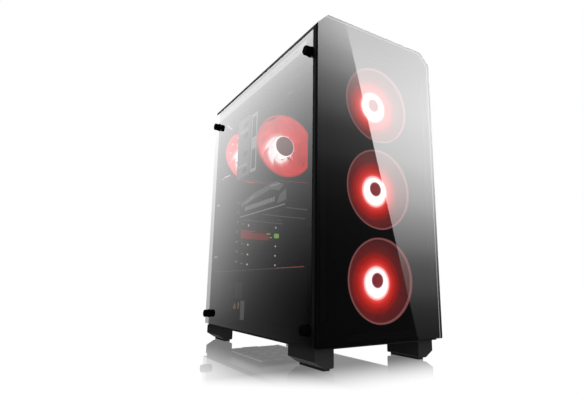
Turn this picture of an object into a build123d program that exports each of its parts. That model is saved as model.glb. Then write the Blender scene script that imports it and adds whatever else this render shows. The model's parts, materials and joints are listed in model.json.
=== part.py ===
from build123d import *
import os
from math import cos, radians, sin

os.makedirs("parts", exist_ok=True)

# Frame: millimetres, +Z up, front towards -Y, glass side towards -X. The origin is on the floor, under
# the middle of the whole tower. The thumbscrews stand out on the glass side, so the case body itself is
# centred a little to the right.

# Overall case
BODY_X = 5.0            # middle plane of the case body
WIDTH = 218.0           # over the two side panels
LEFT = BODY_X - WIDTH / 2
RIGHT = BODY_X + WIDTH / 2
FRONT = -198.0          # outer face of the front glass
REAR = 188.0            # outer face of the rear panel
FLOOR = 26.0            # underside of the base pan
TOP = 474.5             # top edge of the front glass
CORNER = 17.7           # chamfer of the two top corners
GLASS = 4.0             # tempered glass
SHEET = 1.0             # steel sheet of the chassis
BASE_T = 1.2            # thicker sheet of the base pan

# Chassis planes
GLASS_GAP = 2.0         # between the side glass and the chassis frame
FRAME_X = LEFT + GLASS + GLASS_GAP
CHASSIS_FRONT = -188.0
FAN_WALL = -165.0       # front face of the wall the front fans are screwed to
INSIDE_X = FRAME_X + SHEET
FLANGE_X = RIGHT - 3.0  # left face of the right-hand flanges
DECK = FLOOR + BASE_T   # upper face of the base pan
SHOULDER = TOP - CORNER
ROOF_TOP = TOP - 1.5
SHROUD_TOP = 127.0      # power supply cover
TRAY_X = 83.0           # motherboard tray

# Fans
FAN = 120.0
FAN_T = 25.0
FAN_HOLES = 105.0
FAN_BORE = 57.5
BLADE_TIP = 55.5
HUB = 20.5
FRONT_FAN_Z = (109.5, 236.0, 362.5)
REAR_FAN = (-32.5, 367.5)
COOLER_FAN = (-21.0, 358.0)
SHAFT = 1.5
BEARING = 1.55

# Motherboard (305 x 244 mm) and the seven card slots at the standard 20.32 mm pitch
BOARD_X = 75.0          # component side of the board
BOARD_T = 1.6
BOARD_LOW = 130.0
BOARD_HIGH = 435.0
BOARD_REAR = 185.0
BOARD_FRONT = BOARD_REAR - 244.0
SLOT_PITCH = 20.32
SLOT_TOP_Z = 264.9
SLOT_Z = [SLOT_TOP_Z - SLOT_PITCH * n for n in range(7)]
SLOT_LEFT = -42.0
SLOT_RIGHT = 62.0
SOCKET = (89.0, 356.0)  # processor centre, Y and Z
CARD_Z = SLOT_TOP_Z + 3.1   # underside of the graphics card's board

# Thumbscrews of the glass side
SCREW_Y = (-180.0, 171.0)
SCREW_Z = (49.0, 420.0)
NUT = 4.0               # threaded length behind the frame

# Power supply
PSU_X = (-82.0, 68.0)
PSU_Y = (47.0, 187.0)
PSU_Z = (31.0, 117.0)
PSU_FAN = (-7.0, 112.0)
FILTER_RAIL = 59.0      # from the fan's middle to each rail of its filter


def at_x(x):
    """Plane across X: sketch x is Y, sketch y is Z, and a positive amount goes to +X."""
    return Plane.YZ.offset(x)


def at_y(y):
    """Plane across Y: sketch x is X, sketch y is Z, and a positive amount goes to -Y."""
    return Plane.XZ.offset(-y)


def at_z(z):
    """Plane across Z: sketch x is X, sketch y is Y, and a positive amount goes to +Z."""
    return Plane.XY.offset(z)


def slab(x, y, z, mode=Mode.ADD, corner=0.0):
    """Block between two values of each axis; its four vertical edges may be rounded."""
    with BuildSketch(at_z(z[0])) as base:
        with Locations(((x[0] + x[1]) / 2, (y[0] + y[1]) / 2)):
            if corner:
                RectangleRounded(x[1] - x[0], y[1] - y[0], corner)
            else:
                Rectangle(x[1] - x[0], y[1] - y[0])
    extrude(base.sketch, amount=z[1] - z[0], mode=mode)


def round_x(places, radius, x, mode=Mode.ADD):
    """Cylinders along X at (y, z) places."""
    with BuildSketch(at_x(x[0])) as base:
        with Locations(*places):
            Circle(radius)
    extrude(base.sketch, amount=x[1] - x[0], mode=mode)


def round_y(places, radius, y, mode=Mode.ADD):
    """Cylinders along Y at (x, z) places."""
    with BuildSketch(at_y(y[0])) as base:
        with Locations(*places):
            Circle(radius)
    extrude(base.sketch, amount=y[0] - y[1], mode=mode)


def round_z(places, radius, z, mode=Mode.ADD):
    """Cylinders along Z at (x, y) places."""
    with BuildSketch(at_z(z[0])) as base:
        with Locations(*places):
            Circle(radius)
    extrude(base.sketch, amount=z[1] - z[0], mode=mode)


def slots_y(places, size, y):
    """Cut rounded slots through a sheet across Y, at (x, z) places; the longer side of size is round-ended."""
    with BuildSketch(at_y(y[0])) as base:
        with Locations(*places):
            if size[0] > size[1]:
                SlotOverall(size[0], size[1])
            else:
                SlotOverall(size[1], size[0], rotation=90)
    extrude(base.sketch, amount=y[0] - y[1], mode=Mode.SUBTRACT)


def slots_z(places, size, z):
    """Cut rounded slots through a sheet across Z, at (x, y) places."""
    with BuildSketch(at_z(z[0])) as base:
        with Locations(*places):
            if size[0] > size[1]:
                SlotOverall(size[0], size[1])
            else:
                SlotOverall(size[1], size[0], rotation=90)
    extrude(base.sketch, amount=z[1] - z[0], mode=Mode.SUBTRACT)


def slots_x(places, size, x):
    """Cut rounded slots through a sheet across X, at (y, z) places."""
    with BuildSketch(at_x(x[0])) as base:
        with Locations(*places):
            if size[0] > size[1]:
                SlotOverall(size[0], size[1])
            else:
                SlotOverall(size[1], size[0], rotation=90)
    extrude(base.sketch, amount=x[1] - x[0], mode=Mode.SUBTRACT)


def gate_profile(left, right, low, high, chamfer, y, depth):
    """Plate across Y with its two top corners cut off, from y to y + depth."""
    with BuildSketch(at_y(y)) as base:
        with BuildLine():
            Polyline(
                (left, low),
                (right, low),
                (right, high - chamfer),
                (right - chamfer, high),
                (left + chamfer, high),
                (left, high - chamfer),
                close=True,
            )
        make_face()
    extrude(base.sketch, amount=-depth)


def save(part, name):
    """Label one finished piece and write its file."""
    part.label = name
    export_step(part, f"parts/{name}.step")


def corners(x, y):
    """The four corners of a rectangle given as two values on each axis."""
    return [(a, b) for a in x for b in y]


def fan_corners(centre):
    """Screw places of a 120 mm fan around its centre."""
    half = FAN_HOLES / 2
    return corners((centre[0] - half, centre[0] + half), (centre[1] - half, centre[1] + half))


# ---------------------------------------------------------------------------------------------------
# Chassis
# ---------------------------------------------------------------------------------------------------

HOOK_Y = (-140, 0, 140)     # hooks of the right panel, along its lower and upper edges
HOOK_TOP_Z = 446.0
FOOT_X = ((LEFT + 6.9, LEFT + 35.7), (RIGHT - 35.7, RIGHT - 6.9))
FOOT_Y = ((-184.6, -118.5), (137.8, 197.2))


def base_pan():
    """Folded base of the case with the air inlet of the power supply and the rails of its filter."""
    with BuildPart() as pan:
        slab((FRAME_X, FLANGE_X + SHEET), (CHASSIS_FRONT, REAR), (FLOOR, DECK))
        slab((FLANGE_X, FLANGE_X + SHEET), (CHASSIS_FRONT, REAR), (DECK, DECK + 20))
        slots_z([(PSU_FAN[0], PSU_FAN[1] + 9 * n) for n in range(-5, 6)], (96, 5), (FLOOR, DECK))
        slots_x([(y + 8, DECK + 12) for y in HOOK_Y], (24, 5), (FLANGE_X, FLANGE_X + SHEET))
        for x in (PSU_X[0] + 8, PSU_X[1] - 8):
            for y in (PSU_Y[0] + 10, PSU_Y[1] - 14):
                round_z([(x, y)], 5, (DECK, PSU_Z[0]))
        for side in (-1, 1):
            rail = PSU_FAN[0] + side * FILTER_RAIL
            slab((rail - 1, rail + 1), (20, 184), (FLOOR - 5.5, FLOOR))
            lip = sorted((rail + side, rail - side * 5))
            slab(lip, (20, 184), (FLOOR - 6.5, FLOOR - 5.5))
    save(pan.part, "base_pan")


def grille_cells():
    """Centres of the hexagonal holes inside the fan circle, in rows a cell apart."""
    across = 9.2
    cells = []
    for row in range(-7, 8):
        for column in range(-7, 8):
            x = across * (column + (row % 2) / 2)
            z = across * row * sin(radians(60))
            if (x * x + z * z) ** 0.5 < 50:
                cells.append((REAR_FAN[0] + x, REAR_FAN[1] + z))
    return cells


def rear_panel():
    """Rear steel panel: socket opening, fan grille, card slots with their shelf, power supply opening."""
    inner = (REAR - SHEET, REAR)
    left = INSIDE_X
    right = FLANGE_X
    roof_inner = ROOF_TOP - BASE_T
    with BuildPart() as panel:
        gate_profile(left, right, DECK, roof_inner - 0.3, CORNER - 4.0, inner[0], SHEET)
        slab((31, 75), inner, (284, 436), Mode.SUBTRACT)
        slab((PSU_X[0] + 4, PSU_X[1] - 4), inner, (PSU_Z[0] + 4, PSU_Z[1] - 4), Mode.SUBTRACT)
        for z in SLOT_Z:
            slab((SLOT_LEFT, SLOT_RIGHT), inner, (z - 6.5, z + 6.5), Mode.SUBTRACT)
        round_y(fan_corners(REAR_FAN), 2.2, inner, Mode.SUBTRACT)
        with BuildSketch(at_y(inner[0])) as grille:
            with Locations(*grille_cells()):
                RegularPolygon(4.0, 6, major_radius=False, rotation=30)
        extrude(grille.sketch, amount=-SHEET, mode=Mode.SUBTRACT)
        slots_y([(-93, z) for z in (155, 259)], (4, 26), inner)
        shelf = (SLOT_LEFT - 4, SLOT_LEFT - 3)
        slab(shelf, (REAR - 13, REAR - 2), (SLOT_Z[-1] - 10, SLOT_Z[0] + 10))
        slab((SLOT_LEFT - 4, SLOT_LEFT), (REAR - 3, REAR - 1), (SLOT_Z[-1] - 12, SLOT_Z[-1] - 10))
        slab((SLOT_LEFT - 4, SLOT_LEFT), (REAR - 3, REAR - 1), (SLOT_Z[0] + 10, SLOT_Z[0] + 12))
        slab(shelf, (REAR - 3, REAR - 1), (SLOT_Z[-1] - 12, SLOT_Z[-1] - 10))
        slab(shelf, (REAR - 3, REAR - 1), (SLOT_Z[0] + 10, SLOT_Z[0] + 12))
        round_y([(102, z) for z in (60, 420)], 1.85, inner, Mode.SUBTRACT)
    save(panel.part, "rear_panel")


def roof_panel():
    """Folded roof with sloping shoulders and a perforated field over two 120 mm fan places."""
    slope = CORNER - 1.5
    lip = ROOF_TOP - slope
    low = lip - 3.8
    wall = BASE_T
    inset = wall * 0.414
    with BuildPart() as roof:
        with BuildSketch(at_y(CHASSIS_FRONT)) as profile:
            with BuildLine():
                Polyline(
                    (LEFT, low),
                    (LEFT, lip),
                    (LEFT + slope, ROOF_TOP),
                    (RIGHT - slope, ROOF_TOP),
                    (RIGHT, lip),
                    (RIGHT, low),
                    (RIGHT - wall, low),
                    (RIGHT - wall, lip - inset),
                    (RIGHT - slope - inset, ROOF_TOP - wall),
                    (LEFT + slope + inset, ROOF_TOP - wall),
                    (LEFT + wall, lip - inset),
                    (LEFT + wall, low),
                    close=True,
                )
            make_face()
        extrude(profile.sketch, amount=CHASSIS_FRONT - REAR)
        rows = [(BODY_X + 33 * i, 30 + 9 * j) for i in (-2, -1, 0, 1, 2) for j in range(-13, 14)]
        slots_z(rows, (26, 4), (ROOF_TOP - wall, ROOF_TOP))
        slab((BODY_X - 36, BODY_X + 36), (-172, -146), (ROOF_TOP - wall, ROOF_TOP), Mode.SUBTRACT)
        slab((FLANGE_X, FLANGE_X + SHEET), (CHASSIS_FRONT, REAR), (434, 457.4))
        slots_x([(y + 8, HOOK_TOP_Z) for y in HOOK_Y], (24, 5), (FLANGE_X, FLANGE_X + SHEET))
    save(roof.part, "roof_panel")


def left_frame():
    """Frame of the glass side: a steel border with an opening behind the glass."""
    with BuildPart() as frame:
        slab((FRAME_X, INSIDE_X), (CHASSIS_FRONT, REAR), (DECK, 460.5))
        slab((FRAME_X, INSIDE_X), (-163, 162), (46, 434), Mode.SUBTRACT)
        slab((FRAME_X, INSIDE_X), (-178, 178), (66, 403), Mode.SUBTRACT)
        slots_x([(-130 + 26 * n, 445) for n in range(11)], (12, 3), (FRAME_X, INSIDE_X))
        round_x(corners(SCREW_Y, SCREW_Z), 4.8, (FRAME_X, INSIDE_X), Mode.SUBTRACT)
    save(frame.part, "left_frame")


def motherboard_tray():
    """Upright tray that carries the motherboard, cut away below the power supply cover."""
    with BuildPart() as tray:
        slab((TRAY_X, TRAY_X + SHEET), (-164, REAR - 1), (DECK, 470))
        slab((TRAY_X, TRAY_X + SHEET), (-158, 181), (42, 120), Mode.SUBTRACT)
        slots_x([(-90, z) for z in (175, 265, 355)], (26, 62), (TRAY_X, TRAY_X + SHEET))
        slab((TRAY_X, TRAY_X + SHEET), (40, 138), (305, 407), Mode.SUBTRACT)
        slots_x([(20, 449), (130, 449)], (40, 14), (TRAY_X, TRAY_X + SHEET))
    save(tray.part, "motherboard_tray")


PEGS = [(x, z) for x in (-80, 90) for z in (64, 299, 432)]     # snap pegs of the front bezel


def front_wall():
    """Inner front wall with an opening for each front fan."""
    with BuildPart() as wall:
        gate_profile(INSIDE_X, FLANGE_X, DECK, 471.5, CORNER - 4.0, FAN_WALL, SHEET)
        for z in FRONT_FAN_Z:
            round_y([(BODY_X, z)], FAN_BORE, (FAN_WALL, FAN_WALL + SHEET), Mode.SUBTRACT)
            round_y(fan_corners((BODY_X, z)), 2.2, (FAN_WALL, FAN_WALL + SHEET), Mode.SUBTRACT)
        slots_y([(x, z) for x in (-77, 88) for z in (110, 236, 362)], (8, 70), (FAN_WALL, FAN_WALL + SHEET))
        round_y(PEGS, 3.4, (FAN_WALL, FAN_WALL + SHEET), Mode.SUBTRACT)
        slab((BODY_X - 37, BODY_X + 37), (FAN_WALL, FAN_WALL + SHEET), (456, 472), Mode.SUBTRACT)
    save(wall.part, "front_wall")


def psu_shroud():
    """Power supply cover: a flat top and a side wall with a window."""
    side = (-92.0, -91.0)
    with BuildPart() as shroud:
        slab((side[0], TRAY_X), (FAN_WALL + SHEET, REAR - 1), (SHROUD_TOP - SHEET, SHROUD_TOP))
        slab(side, (FAN_WALL + SHEET, REAR - 1), (DECK, SHROUD_TOP - SHEET))
        slab(side, (27, 152), (44, 117), Mode.SUBTRACT)
        places = [(x, y) for x in (-60, -20, 20) for y in range(-20, 36, 8)]
        slots_z(places, (30, 4), (SHROUD_TOP - SHEET, SHROUD_TOP))
        slab((30, 70), (-96, -60), (SHROUD_TOP - SHEET, SHROUD_TOP), Mode.SUBTRACT)
        slab((40, 70), (60, 84), (SHROUD_TOP - SHEET, SHROUD_TOP), Mode.SUBTRACT)
    save(shroud.part, "psu_shroud")


def feet():
    """Four tall plastic feet; the outer lower edge of each is cut back."""
    pad = 3.0
    with BuildPart() as legs:
        for x, out in zip(FOOT_X, (-1, 1)):
            for y in FOOT_Y:
                outer = x[0] if out < 0 else x[1]
                inner = x[1] if out < 0 else x[0]
                with BuildSketch(at_y(y[0])) as section:
                    with BuildLine():
                        Polyline(
                            (inner, FLOOR),
                            (outer, FLOOR),
                            (outer, 11.9),
                            (outer - out * 14.6, pad),
                            (inner + out * 2.0, pad),
                            (inner, pad + 2.0),
                            close=True,
                        )
                    make_face()
                extrude(section.sketch, amount=y[0] - y[1])
        ends = legs.edges().filter_by(Axis.Z).filter_by(lambda edge: edge.length > 5)
        fillet(ends, 1.5)
    save(legs.part, "feet")


def foot_pads():
    """Rubber pads under the feet."""
    with BuildPart() as pads:
        for x, out in zip(FOOT_X, (-1, 1)):
            for y in FOOT_Y:
                inner = x[1] if out < 0 else x[0]
                across = sorted((inner + out * 3.0, inner + out * 13.5))
                slab(across, (y[0] + 4, y[1] - 4), (0, 3.0), corner=2)
    save(pads.part, "foot_pads")


def glass_standoffs():
    """Threaded standoffs with a rubber collar, pressed into the frame behind the glass corners."""
    with BuildPart() as standoffs:
        places = corners(SCREW_Y, SCREW_Z)
        round_x(places, 8.0, (LEFT + GLASS, FRAME_X))
        round_x(places, 4.6, (FRAME_X, INSIDE_X))
        round_x(places, 6.5, (INSIDE_X, INSIDE_X + NUT))
        round_x(places, 3.05, (LEFT + GLASS, INSIDE_X + NUT), Mode.SUBTRACT)
    save(standoffs.part, "glass_standoffs")


# ---------------------------------------------------------------------------------------------------
# Fans
# ---------------------------------------------------------------------------------------------------


def fan_frame_at(centre, front, strut_turn=45):
    """One 120 mm fan housing: two square flanges, a round tunnel, four struts and the bearing disc."""
    rear = front + FAN_T
    for start, end in ((front, front + 4), (rear - 4, rear)):
        with BuildSketch(at_y(start)) as flange:
            with Locations(centre):
                RectangleRounded(FAN, FAN, 6)
        extrude(flange.sketch, amount=start - end)
    round_y([centre], 59.2, (front + 4, rear - 4))
    round_y([centre], FAN_BORE, (front, rear), Mode.SUBTRACT)
    round_y(fan_corners(centre), 2.15, (front, rear), Mode.SUBTRACT)
    with BuildSketch(at_y(rear - 3.2)) as spider:
        with Locations(centre):
            Circle(21.5)
            for angle in range(strut_turn, 360 + strut_turn, 90):
                with PolarLocations(39.5, 1, start_angle=angle):
                    Rectangle(38, 4)
    extrude(spider.sketch, amount=-3.2)
    round_y([centre], BEARING, (rear - 3.2, rear), Mode.SUBTRACT)


def blade(base, root, tip, middle, chords, pitches, thickness):
    """One fan blade, lofted from a section at the hub to a section near the tunnel wall."""
    sections = []
    for radius, chord, pitch in zip((root, tip), chords, pitches):
        origin = base.origin + base.x_dir * radius + base.z_dir * middle
        with BuildSketch(Plane(origin=origin, x_dir=base.y_dir, z_dir=base.x_dir)) as section:
            RectangleRounded(chord, thickness, thickness / 2.2, rotation=pitch)
        sections.append(section.sketch)
    loft(sections=sections)


def rotor(base, tip, hub, depth, count, chords, pitches, shaft_end, cap):
    """Fan rotor around the base plane's Z axis, which points from the air inlet to the bearing."""
    with BuildSketch(base.offset(1.5)) as drum:
        Circle(hub)
    extrude(drum.sketch, amount=depth)
    edge = base.origin + base.z_dir * 1.5
    rim = faces().filter_by(Plane(origin=edge, z_dir=base.z_dir)).sort_by_distance(edge)[0].edges()
    fillet(rim, cap)
    with BuildSketch(base.offset(depth + 1.5)) as pin:
        Circle(SHAFT)
    extrude(pin.sketch, amount=shaft_end - depth - 1.5)
    for number in range(count):
        angle = radians(360 / count * number)
        outward = base.x_dir * cos(angle) + base.y_dir * sin(angle)
        turned = Plane(origin=base.origin, x_dir=outward, z_dir=base.z_dir)
        blade(turned, hub - 1.2, tip, 1.5 + depth / 2, chords, pitches, 1.8)


def y_base(centre, front):
    """Plane whose Z axis runs to +Y through a fan centre given as (x, z)."""
    return Plane(origin=(centre[0], front, centre[1]), x_dir=(1, 0, 0), z_dir=(0, 1, 0))


def front_fan_frames():
    """Housings of the three intake fans."""
    with BuildPart() as frames:
        for z in FRONT_FAN_Z:
            fan_frame_at((BODY_X, z), FAN_WALL - FAN_T)
    save(frames.part, "front_fan_frames")


def front_rotors():
    """Rotors of the three intake fans, each its own piece."""
    for z, place in zip(FRONT_FAN_Z, ("low", "middle", "top")):
        with BuildPart() as wheel:
            base = y_base((BODY_X, z), FAN_WALL - FAN_T + 1)
            rotor(base, BLADE_TIP, HUB, 18, 9, (21, 31), (48, 27), FAN_T - 1.5, 2.0)
        save(wheel.part, f"front_rotor_{place}")


def rear_fan():
    """Exhaust fan behind the honeycomb grille."""
    front = REAR - SHEET - FAN_T
    with BuildPart() as frame:
        fan_frame_at(REAR_FAN, front)
    save(frame.part, "rear_fan_frame")
    with BuildPart() as wheel:
        rotor(y_base(REAR_FAN, front + 1), BLADE_TIP, HUB, 18, 9, (21, 31), (48, 27), FAN_T - 1.5, 2.0)
    save(wheel.part, "rear_fan_rotor")


def cooler_fan():
    """Fan of the tower cooler, in front of its fin stack."""
    front = FIN_FRONT - FAN_T
    with BuildPart() as frame:
        fan_frame_at(COOLER_FAN, front)
    save(frame.part, "cooler_fan_frame")
    with BuildPart() as wheel:
        rotor(y_base(COOLER_FAN, front + 1), BLADE_TIP, HUB, 18, 9, (21, 31), (48, 27), FAN_T - 1.5, 2.0)
    save(wheel.part, "cooler_fan_rotor")


# ---------------------------------------------------------------------------------------------------
# Motherboard and what is on it
# ---------------------------------------------------------------------------------------------------

FIN_FRONT = 60.0
FIN_REAR = 117.0
BOARD_HOLES = [(y, z) for y in (BOARD_FRONT + 16, 61.0, BOARD_REAR - 7) for z in (140.0, 280.0, 430.0)]


def motherboard():
    """Full-size board with its mounting holes."""
    with BuildPart() as board:
        slab((BOARD_X, BOARD_X + BOARD_T), (BOARD_FRONT, BOARD_REAR), (BOARD_LOW, BOARD_HIGH))
        round_x(BOARD_HOLES, 2.0, (BOARD_X, BOARD_X + BOARD_T), Mode.SUBTRACT)
    save(board.part, "motherboard")


def board_standoffs():
    """Brass standoffs between the tray and the board, each with its screw head."""
    with BuildPart() as posts:
        with BuildSketch(at_x(BOARD_X + BOARD_T)) as hexes:
            with Locations(*BOARD_HOLES):
                RegularPolygon(2.6, 6, major_radius=False)
        extrude(hexes.sketch, amount=TRAY_X - BOARD_X - BOARD_T)
        round_x(BOARD_HOLES, 1.7, (BOARD_X, BOARD_X + BOARD_T))
        round_x(BOARD_HOLES, 3.0, (BOARD_X - 1.8, BOARD_X))
    save(posts.part, "board_standoffs")


PORTS = (
    # low Z, high Z, low X, high X of each socket in the rear plate
    (411, 424, 38, 52),
    (411, 424, 56, 70),
    (392, 406, 36, 44),
    (372, 388, 36, 64),
    (352, 368, 38, 70),
    (330, 346, 36, 44),
    (330, 346, 50, 58),
    (308, 326, 36, 52),
    (288, 304, 38, 70),
)


def io_shield():
    """Thin plate that fills the socket opening of the rear panel, with a window for each socket."""
    with BuildPart() as shield:
        slab((31.3, 74.7), (REAR - 0.8, REAR - 0.2), (284.3, 435.7))
        slab((29.5, 76.5), (REAR - 1.6, REAR - 1), (282.5, 437.5))
        slab((31.3, 74.7), (REAR - 1, REAR - 0.8), (284.3, 435.7))
        for low, high, left, right in PORTS:
            slab((left - 0.6, right + 0.6), (REAR - 2, REAR), (low - 0.6, high + 0.6), Mode.SUBTRACT)
    save(shield.part, "io_shield")


def rear_ports():
    """Metal-shelled sockets along the rear edge of the board."""
    with BuildPart() as ports:
        for low, high, left, right in PORTS:
            slab((left, right), (BOARD_REAR - 16, REAR - 0.2), (low, high))
            slab((right, BOARD_X), (BOARD_REAR - 16, BOARD_REAR - 2), (low, high))
            slab((left + 1.5, right - 1.5), (REAR - 12, REAR), (low + 1.5, high - 1.5), Mode.SUBTRACT)
    save(ports.part, "rear_ports")


def cpu_socket():
    """Processor in its socket, with the load frame."""
    y, z = SOCKET
    with BuildPart() as socket:
        slab((71.5, BOARD_X), (y - 26, y + 26), (z - 33, z + 33))
        slab((70.0, 71.5), (y - 19, y + 19), (z - 19, z + 19))
    save(socket.part, "cpu_socket")


def cooler_base():
    """Base block of the tower cooler and its four bent heat pipes."""
    y, z = SOCKET
    pipe = 3.0
    reach = -82.5
    with BuildPart() as base:
        slab((56, 70), (y - 22, y + 22), (z - 22, z + 22))
        for row in (-15, -5, 5, 15):
            plane = Plane(origin=(0, y + row, 0), x_dir=(1, 0, 0), z_dir=(0, -1, 0))
            with BuildLine(plane) as path:
                FilletPolyline((reach, z - 34), (62, z - 34), (62, z + 34), (reach, z + 34), radius=20)
            with BuildSketch(Plane(origin=(reach, y + row, z - 34), z_dir=(1, 0, 0))) as section:
                Circle(pipe)
            sweep(section.sketch, path=path.line)
    save(base.part, "cooler_base")


def cooler_fins():
    """Stack of thin fins with a cover plate on the outer end."""
    y, z = SOCKET
    pitch = 3.0
    first = 28.0
    with BuildPart() as fins:
        with BuildSketch(at_x(-83.0)) as outline:
            with Locations(((FIN_FRONT + FIN_REAR) / 2, COOLER_FAN[1])):
                Rectangle(FIN_REAR - FIN_FRONT, 118)
            with Locations(*[(y + row, z + side) for row in (-15, -5, 5, 15) for side in (-34, 34)]):
                Circle(2.95, mode=Mode.SUBTRACT)
        with BuildSketch(at_x(-83.0)) as cover:
            with Locations(((FIN_FRONT + FIN_REAR) / 2, COOLER_FAN[1])):
                RectangleRounded(FIN_REAR - FIN_FRONT, 118, 3)
        extrude(cover.sketch, amount=0.4)
        for number in range(37):
            x = first - pitch * number
            extrude(Pos(x + 83.0, 0, 0) * outline.sketch, amount=0.5)
    save(fins.part, "cooler_fins")


def board_sockets():
    """Memory sockets, card sockets, power and drive headers."""
    with BuildPart() as sockets:
        for y in RAM_Y:
            slab((67.5, BOARD_X), (y - 3, y + 3), (288, 430))
            slab((61.0, 67.5), (y - 3, y + 3), (288, 292.5))
            slab((61.0, 67.5), (y - 3, y + 3), (425.5, 430))
        for number, z in enumerate(SLOT_Z[:6]):
            front = BOARD_REAR - 120 if number in (0, 3) else BOARD_REAR - 82
            if number in (0, 2, 3, 5):
                slab((64.0, BOARD_X), (front, BOARD_REAR - 28), (z + 0.2, z + 7.6))
                slab((64.0, 70.5), (front + 2, BOARD_REAR - 30), (z + 2.9, z + 4.9), Mode.SUBTRACT)
        slab((62.0, BOARD_X), (BOARD_FRONT + 2, BOARD_FRONT + 12), (318, 370))
        slab((62.0, BOARD_X), (112, 132), (424, 434))
        for z in (190, 206):
            slab((60.0, BOARD_X), (BOARD_FRONT + 1, BOARD_FRONT + 13), (z, z + 14))
    save(sockets.part, "board_sockets")


RAM_Y = (-20.0, -10.5, -1.0, 8.5)


def ram_modules():
    """Two memory modules with heat spreaders."""
    with BuildPart() as modules:
        for y in (RAM_Y[1], RAM_Y[3]):
            slab((34.0, 61.5), (y - 3.4, y + 3.4), (292.8, 425.2))
            slab((61.5, 67.5), (y - 0.7, y + 0.7), (292.8, 425.2))
            for z in range(302, 420, 14):
                slab((34.0, 40.0), (y - 3.4, y + 3.4), (z, z + 5), Mode.SUBTRACT)
    save(modules.part, "ram_modules")


def board_heatsinks():
    """Finned blocks over the voltage regulators and the flat one over the chipset."""
    with BuildPart() as sinks:
        slab((50, BOARD_X), (124, 146), (300, 410))
        for z in range(306, 406, 8):
            slab((50, 64), (124, 146), (z, z + 3.5), Mode.SUBTRACT)
        slab((66, BOARD_X), (-30, 16), (160, 206), corner=2)
        for y in range(-24, 14, 8):
            slab((66, 70), (y, y + 3), (160, 206), Mode.SUBTRACT)
    save(sinks.part, "board_heatsinks")


# ---------------------------------------------------------------------------------------------------
# Cards and covers at the rear slots
# ---------------------------------------------------------------------------------------------------

BRACKET_Y = (REAR - 2, REAR - 1)
BRACKET_X = (SLOT_LEFT - 5, 66.0)


def bracket(low, high):
    """Slot bracket: a plate inside the rear panel and a folded tab on the shelf, with its screw."""
    slab(BRACKET_X, BRACKET_Y, (low, high))
    slab((BRACKET_X[0], BRACKET_X[0] + 1), (REAR - 13, REAR - 2), (low, high))
    for z in SLOT_Z:
        if low < z < high:
            round_x([(REAR - 8, z + 2)], 3.2, (BRACKET_X[0] - 2, BRACKET_X[0]))


def slot_covers():
    """Covers of the unused slots, each with two round holes."""
    with BuildPart() as covers:
        for number in (2, 4, 5, 6):
            z = SLOT_Z[number]
            bracket(z - 9.2, z + 9.2)
            round_y([(-23.2, z), (41.4, z)], 2.0, BRACKET_Y, Mode.SUBTRACT)
    save(covers.part, "slot_covers")


def card_brackets():
    """Brackets of the graphics card and of the small card, with windows for their sockets."""
    with BuildPart() as brackets:
        bracket(SLOT_Z[1] - 9.2, SLOT_Z[0] + 9.2)
        for x in (-36, -12, 12):
            slab((x, x + 18), BRACKET_Y, (SLOT_Z[0] - 5, SLOT_Z[0] + 1.5), Mode.SUBTRACT)
        slots_y([(-30 + 7 * n, SLOT_Z[1]) for n in range(13)], (3.5, 11), BRACKET_Y)
        bracket(SLOT_Z[3] - 9.2, SLOT_Z[3] + 9.2)
        round_y([(30, SLOT_Z[3]), (44, SLOT_Z[3])], 3.2, BRACKET_Y, Mode.SUBTRACT)
    save(brackets.part, "card_brackets")


GPU_FRONT = -24.0
GPU_FAN_Y = (31.0, 127.0)
GPU_FAN_X = 5.0
GPU_LOW = 231.0
GPU_BORE = 43.0


def gpu_board():
    """Circuit board of the graphics card with its contact edge."""
    with BuildPart() as board:
        slab((-47, 64), (GPU_FRONT + 2, BRACKET_Y[0]), (CARD_Z, CARD_Z + 1.6))
        slab((64, 70), (72, 150), (CARD_Z, CARD_Z + 1.6))
        slab((64, 70), (84, 87), (CARD_Z, CARD_Z + 1.6), Mode.SUBTRACT)
        slab((-47, -44), (170, BRACKET_Y[0]), (CARD_Z, CARD_Z + 1.6), Mode.SUBTRACT)
    save(board.part, "gpu_board")


def gpu_heatsink():
    """Finned heatsink under the graphics card's board."""
    with BuildPart() as sink:
        slab((-40, 56), (GPU_FRONT + 8, 169), (CARD_Z - 4, CARD_Z))
        for number in range(36):
            y = GPU_FRONT + 10 + 5 * number
            slab((-40, 56), (y, y + 0.8), (246.4, CARD_Z - 4))
    save(sink.part, "gpu_heatsink")


def gpu_shroud():
    """Plastic fan cover of the graphics card: angled ends, two fan openings and the fan spiders."""
    wall = 2.0
    left, right = -50.0, 60.0
    rear = 172.0
    with BuildPart() as shroud:
        with BuildSketch(at_x(left)) as outline:
            with BuildLine():
                Polyline(
                    (GPU_FRONT + 8, GPU_LOW),
                    (rear, GPU_LOW),
                    (rear, CARD_Z - 1),
                    (GPU_FRONT, CARD_Z - 1),
                    (GPU_FRONT, GPU_LOW + 8),
                    close=True,
                )
            make_face()
        extrude(outline.sketch, amount=right - left)
        chamfer(shroud.edges().filter_by(Axis.Y).group_by(Axis.Z)[0], 5)
        with BuildSketch(at_x(left + wall)) as hollow:
            with BuildLine():
                Polyline(
                    (GPU_FRONT + 8, GPU_LOW + wall + 3),
                    (rear, GPU_LOW + wall + 3),
                    (rear, CARD_Z - 1),
                    (GPU_FRONT + wall, CARD_Z - 1),
                    (GPU_FRONT + wall, GPU_LOW + 11),
                    close=True,
                )
            make_face()
        extrude(hollow.sketch, amount=right - left - 2 * wall, mode=Mode.SUBTRACT)
        for y in GPU_FAN_Y:
            round_z([(GPU_FAN_X, y)], GPU_BORE, (GPU_LOW, GPU_LOW + wall + 3), Mode.SUBTRACT)
            with BuildSketch(at_z(244.6)) as spider:
                with Locations((GPU_FAN_X, y)):
                    Circle(16)
                    Rectangle(right - left - 2, 5)
                    Rectangle(5, 88)
            extrude(spider.sketch, amount=1.8)
            round_z([(GPU_FAN_X, y)], BEARING, (244.6, 246.4), Mode.SUBTRACT)
    save(shroud.part, "gpu_shroud")


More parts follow.
